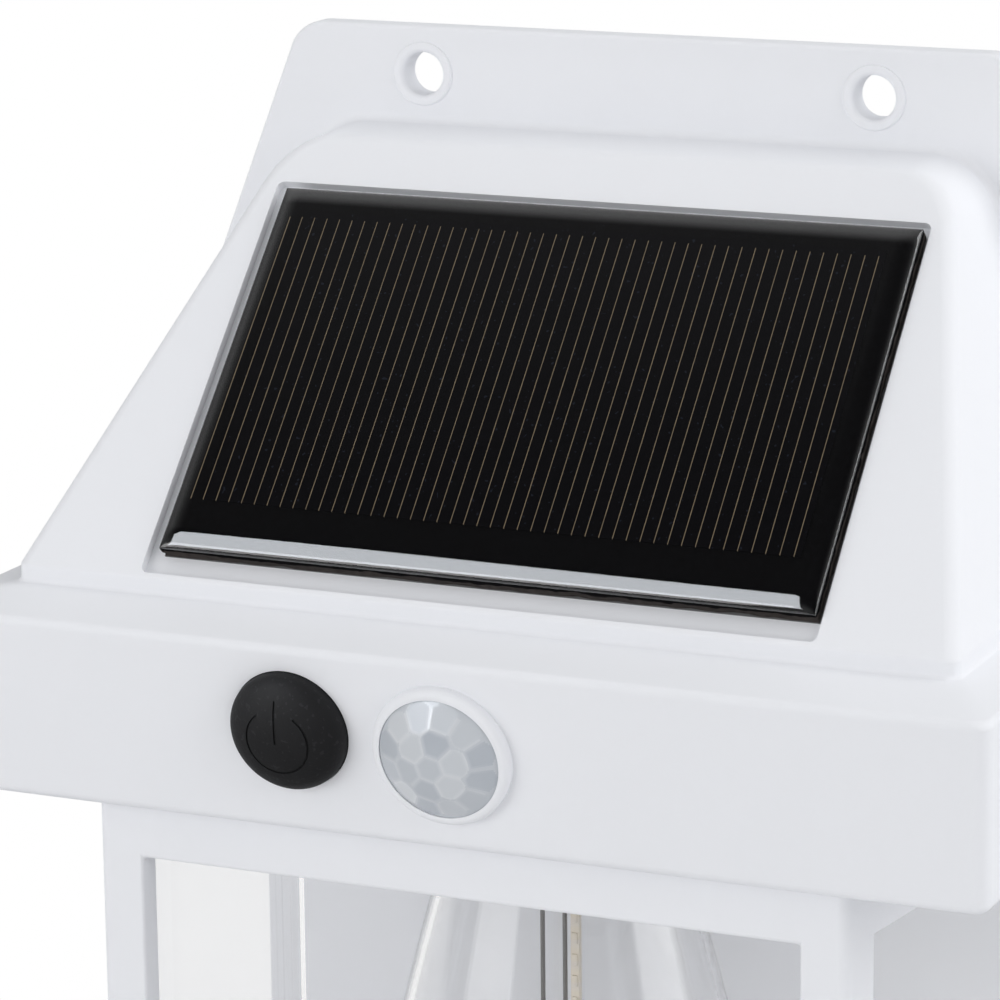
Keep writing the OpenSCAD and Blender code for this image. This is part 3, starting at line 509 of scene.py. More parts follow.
WHITE = Moulded("satin_white", (0.872, 0.880, 0.908), (0.852, 0.861, 0.889), rough=0.55, gloss=0.2)
INNER_WHITE = Moulded("inner_white", (0.78, 0.78, 0.80), (0.74, 0.74, 0.76), rough=0.5)
RUBBER = Moulded("button_rubber", (0.009, 0.009, 0.010), (0.014, 0.014, 0.015), rough=0.62, uneven=0.2,
                 cloud=420.0, skin=3200.0, skin_depth=0.03, gloss=0.25, speck=0.35)
SEAL_RUBBER = Moulded("seal_rubber", (0.030, 0.030, 0.032), (0.045, 0.045, 0.047), rough=0.7)
BLACK_PLASTIC = Moulded("plunger_plastic", (0.022, 0.022, 0.024), (0.034, 0.034, 0.036), rough=0.5)
FOAM = Moulded("adhesive_film", (0.10, 0.10, 0.10), (0.14, 0.14, 0.14), rough=0.8)
SLEEVE = Moulded("green_shrink_sleeve", (0.05, 0.22, 0.11), (0.04, 0.17, 0.09), rough=0.3, skin_depth=0.01)
IVORY = Moulded("connector_plastic", (0.76, 0.71, 0.56), (0.70, 0.65, 0.50), rough=0.45)
CLEAR = Clear("liner_plastic", (0.98, 0.98, 0.98), (1.0, 1.0, 1.0), index=1.38)
BULB = Clear("bulb_plastic", (1.0, 1.0, 1.0), (1.0, 1.0, 1.0), index=1.45)
RESIN = Clear("clear_resin", (0.97, 0.97, 0.975), (0.9, 0.9, 0.9), rough=0.015, index=1.52,
              wave=45.0, wave_depth=0.012, coat=1.0)
STEEL = Metal("plated_steel", (0.60, 0.60, 0.61))
LEAD = Metal("oxidised_wire", (0.22, 0.21, 0.205), rough=0.45, metallic=0.3)
GREEN_BOARD = BoardFinish("green_solder_mask", (0.010, 0.12, 0.045), (0.05, 0.24, 0.08))
WHITE_BOARD = BoardFinish("light_board_mask", (0.72, 0.72, 0.70), (0.60, 0.60, 0.57))


# ---- Modelling ----


def spot(at: Point = (0.0, 0.0, 0.0), tilt: float = 0.0, base: Matrix = Matrix.Identity(4)) -> Matrix:
    """A place in millimetres with a turn about X, set in another place."""
    return base @ Matrix.Translation(Vector(at) * MM) @ Matrix.Rotation(math.radians(tilt), 4, "X")


class Piece:
    """A new mesh, shaped by operators from a primitive. Sizes are in millimetres."""

    def __init__(self, name: str) -> None:
        """Takes over the primitive that was just added, with its place in its mesh.

        Args:
            name: the piece's name.
        """
        self.obj = bpy.context.object
        self.obj.name = self.obj.data.name = name
        bpy.ops.object.transform_apply(location=True, rotation=True, scale=True)

    # Primitives

    @classmethod
    def block(cls, name: str, low: Point, high: Point, at: Matrix = Matrix.Identity(4)) -> "Piece":
        """A box between two corners.

        Args:
            name: the piece's name.
            low: one corner.
            high: the opposite corner.
            at: the place that the box is moved by.

        Returns:
            The box.
        """
        bpy.ops.object.select_all(action="DESELECT")
        bpy.ops.mesh.primitive_cube_add(size=1, location=[(a + b) / 2 * MM for a, b in zip(low, high)])
        bpy.context.object.scale = [abs(b - a) * MM for a, b in zip(low, high)]
        return cls(name).move(at)

    @classmethod
    def rod(cls, name: str, radius: float, low: float, high: float, at: Matrix = Matrix.Identity(4),
            tip: Union[float, None] = None) -> "Piece":
        """A round bar along Z, or a cone.

        Args:
            name: the piece's name.
            radius: radius at the lower end.
            low: height of the lower end.
            high: height of the upper end.
            at: the place that the bar is moved by.
            tip: radius at the upper end, if it has its own.

        Returns:
            The bar.
        """
        bpy.ops.object.select_all(action="DESELECT")
        bpy.ops.mesh.primitive_cone_add(
            vertices=64, radius1=radius * MM, radius2=(radius if tip is None else tip) * MM,
            depth=(high - low) * MM, location=(0, 0, (low + high) / 2 * MM))
        return cls(name).move(at)

    @classmethod
    def lathe(cls, name: str, outline: Sequence[tuple[float, float]], at: Matrix = Matrix.Identity(4),
              steps: int = 96) -> "Piece":
        """An outline spun about Z into a closed skin.

        Args:
            name: the piece's name.
            outline: (radius, height) points that start and end on the axis or meet.
            at: the place that the piece is moved by.
            steps: facets round the axis.

        Returns:
            The piece.
        """
        bpy.ops.object.select_all(action="DESELECT")
        bpy.ops.mesh.primitive_plane_add(size=MM)
        piece = cls(name)
        with piece.editing("VERT"):
            bpy.ops.mesh.select_all(action="SELECT")
            bpy.ops.mesh.merge(type="CENTER")
            bpy.ops.transform.translate(value=(outline[0][0] * MM, 0, outline[0][1] * MM))
            for (r0, z0), (r1, z1) in zip(outline, outline[1:]):
                bpy.ops.mesh.extrude_region_move(
                    TRANSFORM_OT_translate={"value": ((r1 - r0) * MM, 0, (z1 - z0) * MM)})
            bpy.ops.mesh.select_all(action="SELECT")
            bpy.ops.mesh.spin(steps=steps, angle=2 * math.pi, center=(0, 0, 0), axis=(0, 0, 1))
        return piece.tidy().move(at)

    @classmethod
    def tower(cls, name: str, levels: Sequence[Point], back: float) -> "Piece":
        """A block raised level by level.

        Args:
            name: the piece's name.
            levels: (half width, depth, height) from the foot up.
            back: depth of the upright back face.

        Returns:
            The piece, with flat sides between its levels.
        """
        half, depth, z = levels[0]
        piece = cls.block(name, (-half, -depth, z), (half, -back, levels[1][2]))
        piece.taper(levels[0], levels[1], back)
        for start, end in zip(levels[1:], levels[2:]):
            piece.storey(start, end, back)
        return piece

    def taper(self, start: Point, end: Point, back: float) -> None:
        """Resizes the end face, keeping the back face.

        Args:
            start: (half width, depth, height) of the size that it has.
            end: the same of the size that it gets, at its own height.
            back: depth of the back face.
        """
        with self.editing():
            self.pick(lambda c, n, f: abs(n.z) > 0.9 and abs(c.z - end[2]) < 1e-3)
            grow = (end[0] / start[0], (end[1] - back) / (start[1] - back), 1)
            bpy.ops.transform.resize(value=grow, center_override=(0, -back * MM, end[2] * MM))

    def storey(self, start: Point, end: Point, back: float) -> None:
        """Extrudes the end face from one level to the next.

        Args:
            start: (half width, depth, height) of the end face.
            end: the same of the next level.
            back: depth of the back face.
        """
        with self.editing():
            self.pick(lambda c, n, f: abs(n.z) > 0.9 and abs(c.z - start[2]) < 1e-3)
            rise = (end[2] - start[2]) * MM
            bpy.ops.mesh.extrude_region_move(TRANSFORM_OT_translate={"value": (0, 0, rise)})
        self.taper(start, end, back)

    # Selection and edits

    def wake(self) -> None:
        """Makes this the only selected object."""
        bpy.ops.object.select_all(action="DESELECT")
        self.obj.select_set(True)
        bpy.context.view_layer.objects.active = self.obj

    @contextmanager
    def editing(self, kind: str = "FACE") -> Iterator[None]:
        """Edit mode with nothing selected.

        Args:
            kind: "FACE", "EDGE" or "VERT".

        Yields:
            Nothing, while edit mode is on.
        """
        self.wake()
        bpy.ops.object.mode_set(mode="EDIT")
        bpy.ops.mesh.select_mode(type=kind)
        bpy.ops.mesh.select_all(action="DESELECT")
        yield
        bpy.ops.object.mode_set(mode="OBJECT")

    def pick(self, test: Callable, kind: str = "FACE") -> None:
        """Selects faces, edges or vertices in edit mode.

        Args:
            test: called with the centre in mm, a face's normal, an edge's run or a
                vertex's normal, and the element itself.
            kind: "FACE", "EDGE" or "VERT".
        """
        mesh = bmesh.from_edit_mesh(self.obj.data)
        mesh.normal_update()
        for item in {"FACE": mesh.faces, "EDGE": mesh.edges, "VERT": mesh.verts}[kind]:
            if kind == "FACE":
                centre, way = item.calc_center_median(), item.normal
            elif kind == "EDGE":
                ends = [v.co for v in item.verts]
                centre, way = (ends[0] + ends[1]) / 2, (ends[1] - ends[0]) / MM
            else:
                centre, way = item.co, item.normal
            if test(centre / MM, way, item):
                item.select_set(True)
        mesh.select_flush_mode()
        bmesh.update_edit_mesh(self.obj.data)

    def move(self, at: Matrix) -> "Piece":
        """Moves the mesh by a place."""
        self.obj.data.transform(at)
        return self

    def apply(self, kind: str, **settings: Union[float, str, bpy.types.Object]) -> "Piece":
        """Adds a modifier and applies it.

        Args:
            kind: Blender's name of the modifier type.
            settings: its properties.

        Returns:
            This piece.
        """
        self.wake()
        modifier = self.obj.modifiers.new(kind.title(), kind)
        for key, value in settings.items():
            setattr(modifier, key, value)
        bpy.ops.object.modifier_apply(modifier=modifier.name)
        return self

    def tidy(self) -> "Piece":
        """Merges doubles and turns the faces outwards.

        Returns:
            This piece.
        """
        with self.editing():
            bpy.ops.mesh.select_all(action="SELECT")
            bpy.ops.mesh.remove_doubles(threshold=1e-6)
            bpy.ops.mesh.normals_make_consistent(inside=False)
        return self

    def flatten(self) -> "Piece":
        """Joins faces that lie in one plane.

        Returns:
            This piece.
        """
        with self.editing():
            bpy.ops.mesh.select_all(action="SELECT")
            bpy.ops.mesh.dissolve_limited(angle_limit=math.radians(0.3))
        return self

    def take(self, other: "Piece", how: str = "DIFFERENCE") -> "Piece":
        """Cuts another piece away or joins it, and uses it up.

        Args:
            other: the other piece.
            how: "DIFFERENCE" or "UNION".

        Returns:
            This piece.
        """
        self.apply("BOOLEAN", operation=how, object=other.obj, solver="EXACT")
        bpy.data.objects.remove(other.obj)
        with self.editing():
            bpy.ops.mesh.select_all(action="SELECT")
            bpy.ops.mesh.remove_doubles(threshold=2e-7)
        return self

    def bevel(self, width: Callable, test: Callable, segments: int = 4) -> "Piece":
        """Bevels edges, each by its own width.

        Args:
            width: the width in mm, from an edge's centre, run and element.
            test: which edges are bevelled, called in the same way.
            segments: facets across the bevel.

        Returns:
            This piece.
        """
        mesh = bmesh.new()
        mesh.from_mesh(self.obj.data)
        widths = {}
        for edge in mesh.edges:
            ends = [v.co for v in edge.verts]
            centre, run = (ends[0] + ends[1]) / 2 / MM, (ends[1] - ends[0]) / MM
            if len(edge.link_faces) == 2 and test(centre, run, edge):
                widths[edge.index] = width(centre, run, edge)
        mesh.free()
        widest = max(widths.values(), default=0.0)
        if widest < 1e-4:
            LOG.warning("%s: no edge to round", self.obj.name)
            return self
        weights = self.obj.data.attributes.get("bevel_weight_edge") or self.obj.data.attributes.new(
            "bevel_weight_edge", "FLOAT", "EDGE")
        for index, weight in enumerate(weights.data):
            weight.value = widths.get(index, 0.0) / widest
        self.apply("BEVEL", width=widest * MM, segments=segments, limit_method="WEIGHT",
                   use_clamp_overlap=False, loop_slide=True)
        self.obj.data.attributes.remove(self.obj.data.attributes["bevel_weight_edge"])
        return self

    def round(self, radius: Union[float, Callable], test: Callable, segments: int = 4) -> "Piece":
        """Bevels edges to a rolling radius, which may be a function as in bevel."""
        return self.bevel(lambda c, d, e: (radius(c, d, e) if callable(radius) else radius)
                          * math.tan(e.calc_face_angle(0.0) / 2), test, segments)

    def soften(self, radius: float, segments: int = 3, angle: float = 40.0) -> "Piece":
        """Rounds every edge sharper than an angle."""
        return self.round(radius, lambda c, d, e: e.calc_face_angle(0.0) > math.radians(angle), segments)

    def sink_screws(self, places: Sequence[Matrix], through: float, way: float = 1.35,
                    mouth: float = 2.4, sunk: float = 1.2) -> "Piece":
        """Cuts screw holes with sunk mouths.

        Args:
            places: the holes' places, where Z points out of the face.
            through: depth of a hole.
            way: radius of a hole.
            mouth: radius of its mouth.
            sunk: depth of the mouth's cone.

        Returns:
            This piece.
        """
        for at in places:
            self.take(Piece.rod("sink", way, -sunk, 0.01, at, tip=mouth))
            self.take(Piece.rod("way", way, -through, 1, at))
        return self

    def finish(self, finish: Finish, slot: Slot, body: Body = Body.LIGHT, replaces: Sequence[str] = (),
               angle: float = 35.0) -> None:
        """Smooths and dresses the finished piece, hangs it on its body and hides the solids that it stands for.

        Args:
            finish: its finish.
            slot: the record's material slot that the finish comes from; not used.
            body: the body that it rides on.
            replaces: the solids that it stands for.
            angle: edges sharper than this, in degrees, stay sharp.
        """
        self.wake()
        bpy.ops.object.shade_smooth_by_angle(angle=math.radians(angle))
        self.apply("WEIGHTED_NORMAL", keep_sharp=True, weight=80)
        self.obj.data.materials.clear()
        self.obj.data.materials.append(finish.material())
        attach(self.obj, body.value)
        if replaces:
            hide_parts(*replaces)
        LOG.info("%s: %d faces, stands for %s", self.obj.name, len(self.obj.data.polygons),
                 ", ".join(replaces) or "nothing")


def along_y(c: Vector, d: Vector) -> bool:
    """Whether an edge runs into the wall."""
    return abs(d.y) > 0.9 * d.length


# ---- The hood ----


@dataclass
class Hood:
    """Wall plate, roof, lip, shelf and band, moulded in one."""

    slope: float = 46.6
    lean: float = 10.9
    top: float = -5.3
    ridge: Point = (37.7, 12.0, -5.8)
    eave: Point = (51.58, 50.34, -46.34)
    lip: Point = (51.60, 50.36, -48.09)
    band: Point = (57.58, 59.14, -49.54)
    foot: Point = (56.52, 55.23, -69.87)
    floor: float = -67.87
    plate: float = 3.0
    rise: float = 5.2
    plate_half: float = 41.0
    kink: float = -36.46
    lantern_half: float = 48.10
    lantern_foot: float = -141.87
    shoulder: float = 7.0
    hip_turn: float = 76.0
    ridge_width: float = 0.6
    hip_width: float = 1.4
    below: float = 12.0
    screw_x: float = 26.0
    screw_hole: float = 2.35
    ring: float = 3.5
    tray: Point = (37.1, 48.9, 1.05)
    tray_foot: float = 0.6
    roof_length: float = 55.8
    button: tuple[float, float] = (-16.2, -9.05)
    button_hole: float = 6.45
    lens: tuple[float, float] = (0.65, -9.85)
    lens_hole: float = 6.5
    lens_ring: tuple[float, float] = (1.0, 1.3)
    bulb_depth: float = 25.49
    bulb_hole: float = 10.65
    fillet: float = 1.0
    cover_levels: tuple = ((46.38, -64.87), (34.11, -10.5))
    rail_screws: tuple = ((44.47, -72.57), (44.47, -136.37))

    @property
    def roof_spot(self) -> Matrix:
        """The roof's place: Y up the slope from the ridge, Z out of the face."""
        return spot((0, -self.ridge[1], self.ridge[2]), self.slope)

    @property
    def band_spot(self) -> Matrix:
        """The band's place: Y up the face from its top edge, Z out of the face."""
        return spot((0, -self.band[1], self.band[2]), 90 + self.lean)

    def upright(self, name: str, levels: Sequence[tuple[float, float]], near: float, far: float) -> Piece:
        """An upright slab by levels of (half width, height), between two depths."""
        return Piece.tower(name, [(half, far, z) for half, z in levels], near)

    def cover_slab(self, name: str, inset: float, near: float, far: float) -> Piece:
        """A slab with the rear cover's outline.

        Args:
            name: the slab's name.
            inset: how far the outline is drawn in.
            near: depth of its rear face.
            far: depth of its front face.

        Returns:
            The slab, with rounded corners.
        """
        (wide, low), (narrow, high) = self.cover_levels
        slab = self.upright(name, [(wide - inset, low + inset), (narrow - inset, high - inset)], near, far)
        return slab.round(max(0.8, 4 - inset), lambda c, d, e: along_y(c, d), 6)

    def body(self) -> Piece:
        """The roof with its rounded corners, then lip, shelf and band drawn down from its eave.

        Returns:
            The solid body, without the plate.
        """
        back, run = self.plate / 2, self.below / (self.ridge[2] - self.eave[2])
        start = tuple(e + (e - r) * run for e, r in zip(self.eave, self.ridge))
        body = Piece.tower("hood_moulding", [start, self.ridge], back)
        with body.editing("VERT"):
            body.pick(lambda c, n, v: c.z > self.ridge[2] - 0.1 and c.y > -self.plate, "VERT")
            bpy.ops.transform.translate(value=(0, 0, (self.top - self.ridge[2]) * MM))
        body.round(self.shoulder, lambda c, d, e: along_y(c, d) and c.z > self.ridge[2] - 0.5, 14)

        def hip_width(c: Vector, d: Vector, e: bmesh.types.BMEdge) -> float:
            """A bevel that grows gently from the ridge, round the shoulder, to the hips."""
            t = min(1.0, math.degrees(math.atan2(math.hypot(d.y, d.z), abs(d.x))) / self.hip_turn)
            return self.ridge_width + (self.hip_width - self.ridge_width) * t * t * (3 - 2 * t)

        body.bevel(hip_width, lambda c, d, e: c.z > start[2] + 1
                   and any(f.normal.y < -0.5 and f.normal.z > 0.5 for f in e.link_faces), 6)
        with body.editing():
            bpy.ops.mesh.select_all(action="SELECT")
            bpy.ops.mesh.bisect(plane_co=(0, 0, self.eave[2] * MM), plane_no=(0, 0, 1), use_fill=True,
                                clear_inner=True)
        levels = [self.eave, self.lip, self.band, self.foot]
        for above, level in zip(levels, levels[1:]):
            body.storey(above, level, back)
        for level, radius in ((self.foot, 1.3), (self.band, 0.9), (self.lip, 0.5), (self.eave, 0.6)):
            body.round(radius, lambda c, d, e: abs(c.z - level[2]) < 0.02 and abs(d.z) < 0.01
                       and c.y < -back - 0.01 and e.calc_face_angle(0.0) > 0.1, 4)
        return body

    def wall_plate(self) -> Piece:
        """The plate behind the hood and the lantern, with its hand-soft rim.

        Returns:
            The plate.
        """
        step = self.foot[2] + 0.1
        levels = [(self.lantern_half, self.lantern_foot), (self.lantern_half, step),
                  (self.foot[0] - 0.1, step + 0.1), (self.band[0] - 0.1, self.band[2]),
                  (self.band[0], self.kink), (self.plate_half, self.rise)]
        plate = self.upright("plate", levels, 0, self.plate).flatten()
        plate.round(lambda c, d, e: 4.0 if c.z > 0 else 2.0, lambda c, d, e: along_y(c, d)
                    and (c.z > self.rise - 1 or c.z < self.lantern_foot + 1), 8)
        return plate.round(lambda c, d, e: 0.5 if c.y < -1 else 0.25,
                           lambda c, d, e: not along_y(c, d) and e.calc_face_angle(0.0) > 0.9, 3)

    def inside(self) -> Piece:
        """The hollow behind the walls.

        Returns:
            The solid to cut away.
        """
        levels = [(54.3, 53.4, self.floor), (55.4, 56.9, -51.7), (50.4, 49.4, -50.4), (36.3, 10.15, -8.5)]
        hollow = Piece.tower("hollow", levels, 4.2)
        return hollow.round(self.shoulder - 2.2, lambda c, d, e: along_y(c, d) and c.z > -9, 8)

    def rail_places(self, sunk: float = 0.0) -> list[Matrix]:
        """Places of the screws through the plate into the lantern, seen from behind."""
        return [spot((side * x, -sunk, z), -90) for side in (-1, 1) for x, z in self.rail_screws]

    def screw_way(self) -> list[tuple[float, float]]:
        """Outline of a wall screw's hole with a softly flared mouth.

        Returns:
            (radius, height) points from the back of the plate outwards.
        """
        flare = [(self.screw_hole + 0.6 * (1 - math.cos(a)), -0.3 + 0.6 * math.sin(a))
                 for a in (math.pi / 2 * i / 6 for i in range(7))]
        back = -self.plate - 1
        return [(0.0, back), (self.screw_hole, back)] + flare + [(0.0, flare[-1][1] + 0.1)]

    def build(self) -> None:
        """Joins the body and the plate, and cuts the tray, holes and rear opening."""
        hood = self.body().take(self.wall_plate(), "UNION").flatten()
        hood.round(self.fillet, lambda c, d, e: abs(c.y + self.plate) < 0.02 and c.z > self.eave[2] + 2
                   and c.z < self.top + 2 and abs(d.y) < 0.01 and not e.is_convex, 5)
        for side in (-1, 1):
            hole = spot((side * self.screw_x, -self.plate, 0), 90)
            hood.take(Piece.rod("ring", self.ring, -0.5, 0.3, hole).soften(0.26, 4), "UNION")
            hood.take(Piece.lathe("hole", self.screw_way(), hole, 64))
        lens_spot = spot((self.lens[0], self.lens[1], 0), 0, self.band_spot)
        wall, high = self.lens_ring
        hood.take(Piece.rod("lens_ring", self.lens_hole + wall, -1, high, lens_spot).soften(0.8, 6), "UNION")

        width, length, depth = self.tray
        tray = Piece.block("tray", (-width, 0, -depth), (width, length, 3)).round(
            0.8, lambda c, d, e: abs(d.z) > 0.9 * d.length, 5)
        hood.take(tray.move(spot((0, self.tray_foot - self.roof_length, 0), 0, self.roof_spot)))
        hood.take(self.inside())
        hood.take(self.cover_slab("opening", 2.5, -1, 5.2))
        hood.take(self.cover_slab("recess", -0.15, -1, 2.4))
        button_spot = spot((self.button[0], self.button[1], 0), 0, self.band_spot)
        hood.take(Piece.rod("button_way", self.button_hole, -4, 2, button_spot))
        hood.take(Piece.rod("lens_way", self.lens_hole, -4, 2, lens_spot))
        bulb_spot = spot((0, -self.bulb_depth, self.foot[2] + 1))
        hood.take(Piece.rod("bulb_way", self.bulb_hole, -3, 3, bulb_spot))
        hood.sink_screws(self.rail_places(), self.plate + 1)
        hood.finish(WHITE, Slot.WHITE, replaces=["housing"])


# ---- The solar panel ----


@dataclass
class SolarPanel:
    """A resin-covered board in the roof's tray."""

    hood: Hood
    width: float = 72.0
    height: float = 45.0
    film: float = 0.2
    board: float = 1.5
    resin: float = 0.85
    pour: float = 2.3
    skirt: float = 0.12
    wet: float = 0.015
    rings: int = 12
    bite: float = 0.35

    def spot(self) -> Matrix:
        """The panel's place, from the middle of its lower edge on the tray's floor."""
        return spot((0.6, 0.6 + 2.6 - self.hood.roof_length, -self.hood.tray[2]), 0, self.hood.roof_spot)

    def build_board(self) -> None:
        """The board, with a ragged cut edge."""
        low, high = self.film, self.film + self.board
        board = Piece.block("panel_board_cut", (-self.width / 2, 0, low), (self.width / 2, self.height, high))
        with board.editing("EDGE"):
            bpy.ops.mesh.select_all(action="SELECT")
            bpy.ops.mesh.subdivide(number_cuts=5)
        board.apply("SUBSURF", subdivision_type="SIMPLE", levels=3, render_levels=3)
        for vertex in board.obj.data.vertices:
            c = vertex.co / MM
            rim = abs(c.x) > self.width / 2 - 0.01 or c.y < 0.01 or c.y > self.height - 0.01
            if rim and c.z < high - 0.3:
                bite = max(0.0, noise.noise(c * 1.1) + 0.4 * noise.noise(c * 4.0)) * self.bite
                vertex.co.x -= math.copysign(bite, c.x) * MM * (abs(c.x) > self.width / 2 - 0.01)
                vertex.co.y += bite * MM * (1 if c.y < 0.01 else -1 if c.y > self.height - 0.01 else 0)
        board.move(self.spot()).finish(CutBoard("panel_board_laminate"), Slot.BOARD,
                                       replaces=["panel_board"], angle=60)

    def rise(self, x: float, y: float) -> float:
        """Height of the poured resin over the board.

        Args:
            x: distance from the panel's middle line.
            y: distance from its lower edge.

        Returns:
            The height.
        """
        height = self.resin
        for side in (self.width / 2 - abs(x), min(y, self.height - y)):
            height *= math.sqrt(1 - (1 - max(0.0, min(1.0, side / self.pour))) ** 2)
        return height

    def build_resin(self) -> None:
        """The clear resin, drawn down softly at its rim and hollow over the cells."""
        low = self.film + self.board
        bpy.ops.object.select_all(action="DESELECT")
        bpy.ops.mesh.primitive_grid_add(x_subdivisions=2 * self.rings + 1, y_subdivisions=2 * self.rings + 1,
                                        size=2)
        resin = Piece("panel_resin_cover")

        def spread(place: float, length: float) -> float:
            """Moves an even grid line into the rim, closer together towards the edge.

            Args:
                place: the line's place from -1 to 1.
                length: the panel's length across the lines.

            Returns:
                The line's new place in millimetres.
            """
            step = (1 - abs(place)) * (self.rings + 0.5)
            side = self.pour * (1 - math.cos(min(step, self.rings) / self.rings * math.pi / 2))
            return math.copysign(length / 2 - side, place)

        for vertex in resin.obj.data.vertices:
            x, y = spread(vertex.co.x, self.width), spread(vertex.co.y, self.height) + self.height / 2
            rise = self.rise(x, y) * (1 - self.skirt / self.resin)
            vertex.co = Vector((x, y, low + self.skirt + rise)) * MM
        with resin.editing("EDGE"):
            resin.pick(lambda c, d, e: e.is_boundary, "EDGE")
            drop = self.skirt + self.wet
            bpy.ops.mesh.extrude_region_move(TRANSFORM_OT_translate={"value": (0, 0, -drop * MM)})
            bpy.ops.mesh.edge_face_add()
        wet = self.wet
        cells = Piece.block("cells", (-33 + wet, 6 + wet, low - 1),
                            (33 - wet, self.height - 3 - wet, low + 0.2 - wet))
        resin.tidy().take(cells).move(self.spot()).finish(RESIN, Slot.RESIN, replaces=["panel_resin"])

    def build(self) -> None:
        """Board and resin; the cells are the solid itself with their own finish."""
        self.build_board()
        self.build_resin()


# ---- Button and lens ----


@dataclass
class PowerButton:
    """A rubber dome with a power sign sunk into it."""

    hood: Hood
    radius: float = 6.35
    height: float = 3.6
    sign_radius: float = 3.4
    groove: float = 0.22
    groove_depth: float = 0.16
    bar_length: float = 4.4
    gap: float = 36.0

    def lift(self, x: float, y: float) -> float:
        """Height of the dome over a point."""
        rise = self.height * 0.86
        return self.height - rise + rise * math.sqrt(max(0.0, 1 - (x * x + y * y) / self.radius ** 2))

    def outline(self) -> list[tuple[float, float]]:
        """The dome's outline from its stem to its top.

        Returns:
            (radius, height) points.
        """
        steps = 24
        rise = self.height * 0.86
        arc = [(self.radius * math.cos(a), self.height - rise + rise * math.sin(a))
               for a in (math.pi / 2 * i / steps for i in range(steps + 1))]
        arc[-1] = (0.0, self.height)
        return [(0.0, -5.35), (2.2, -5.35), (2.2, -3.15), (7.35, -3.15), (7.35, -2.35), (self.radius, -2.35),
                (self.radius, 0.0)] + arc

    def sign(self, ribbon: Piece) -> Piece:
        """Lays a flat ribbon on the dome and gives it a body to cut with.

        Args:
            ribbon: the ribbon, flat at height 0.

        Returns:
            The ribbon.
        """
        for vertex in ribbon.obj.data.vertices:
            x, y, _ = vertex.co / MM
            vertex.co.z = self.lift(x, y) * MM
        ribbon.apply("SOLIDIFY", thickness=2 * self.groove_depth * MM, offset=0.0)
        return ribbon.tidy()

    def ring(self) -> Piece:
        """The sign's ring, open at the top.

        Returns:
            The solid to cut away.
        """
        bpy.ops.object.select_all(action="DESELECT")
        inner = (self.sign_radius - self.groove / 2) * MM
        bpy.ops.mesh.primitive_circle_add(vertices=120, radius=inner)
        ring = Piece("sign_ring")
        grow = (self.sign_radius + self.groove / 2) / (self.sign_radius - self.groove / 2)
        with ring.editing("EDGE"):
            bpy.ops.mesh.select_all(action="SELECT")
            bpy.ops.mesh.extrude_region_move(TRANSFORM_OT_translate={"value": (0, 0, 0)})
            bpy.ops.transform.resize(value=(grow, grow, 1), center_override=(0, 0, 0))
        with ring.editing():
            ring.pick(lambda c, n, f: abs(math.degrees(math.atan2(c.x, c.y))) < self.gap)
            bpy.ops.mesh.delete(type="FACE")
        return self.sign(ring)

    def bar(self) -> Piece:
        """The sign's upright bar.

        Returns:
            The solid to cut away.
        """
        bpy.ops.object.select_all(action="DESELECT")
        bpy.ops.mesh.primitive_grid_add(x_subdivisions=2, y_subdivisions=24, size=1)
        bpy.context.object.scale = (self.groove * MM, self.bar_length * MM, 1)
        bpy.context.object.location = (0, self.bar_length / 2 * MM, 0)
        return self.sign(Piece("sign_bar"))

    def build(self) -> None:
        """Spins the dome and cuts the sign into it."""
        dome = Piece.lathe("button_dome", self.outline(), steps=96)
        dome.take(self.ring()).take(self.bar())
        dome.move(spot((self.hood.button[0], self.hood.button[1], 0), 0, self.hood.band_spot))
        dome.finish(RUBBER, Slot.RUBBER, Body.BUTTON, replaces=["power_button"], angle=40)


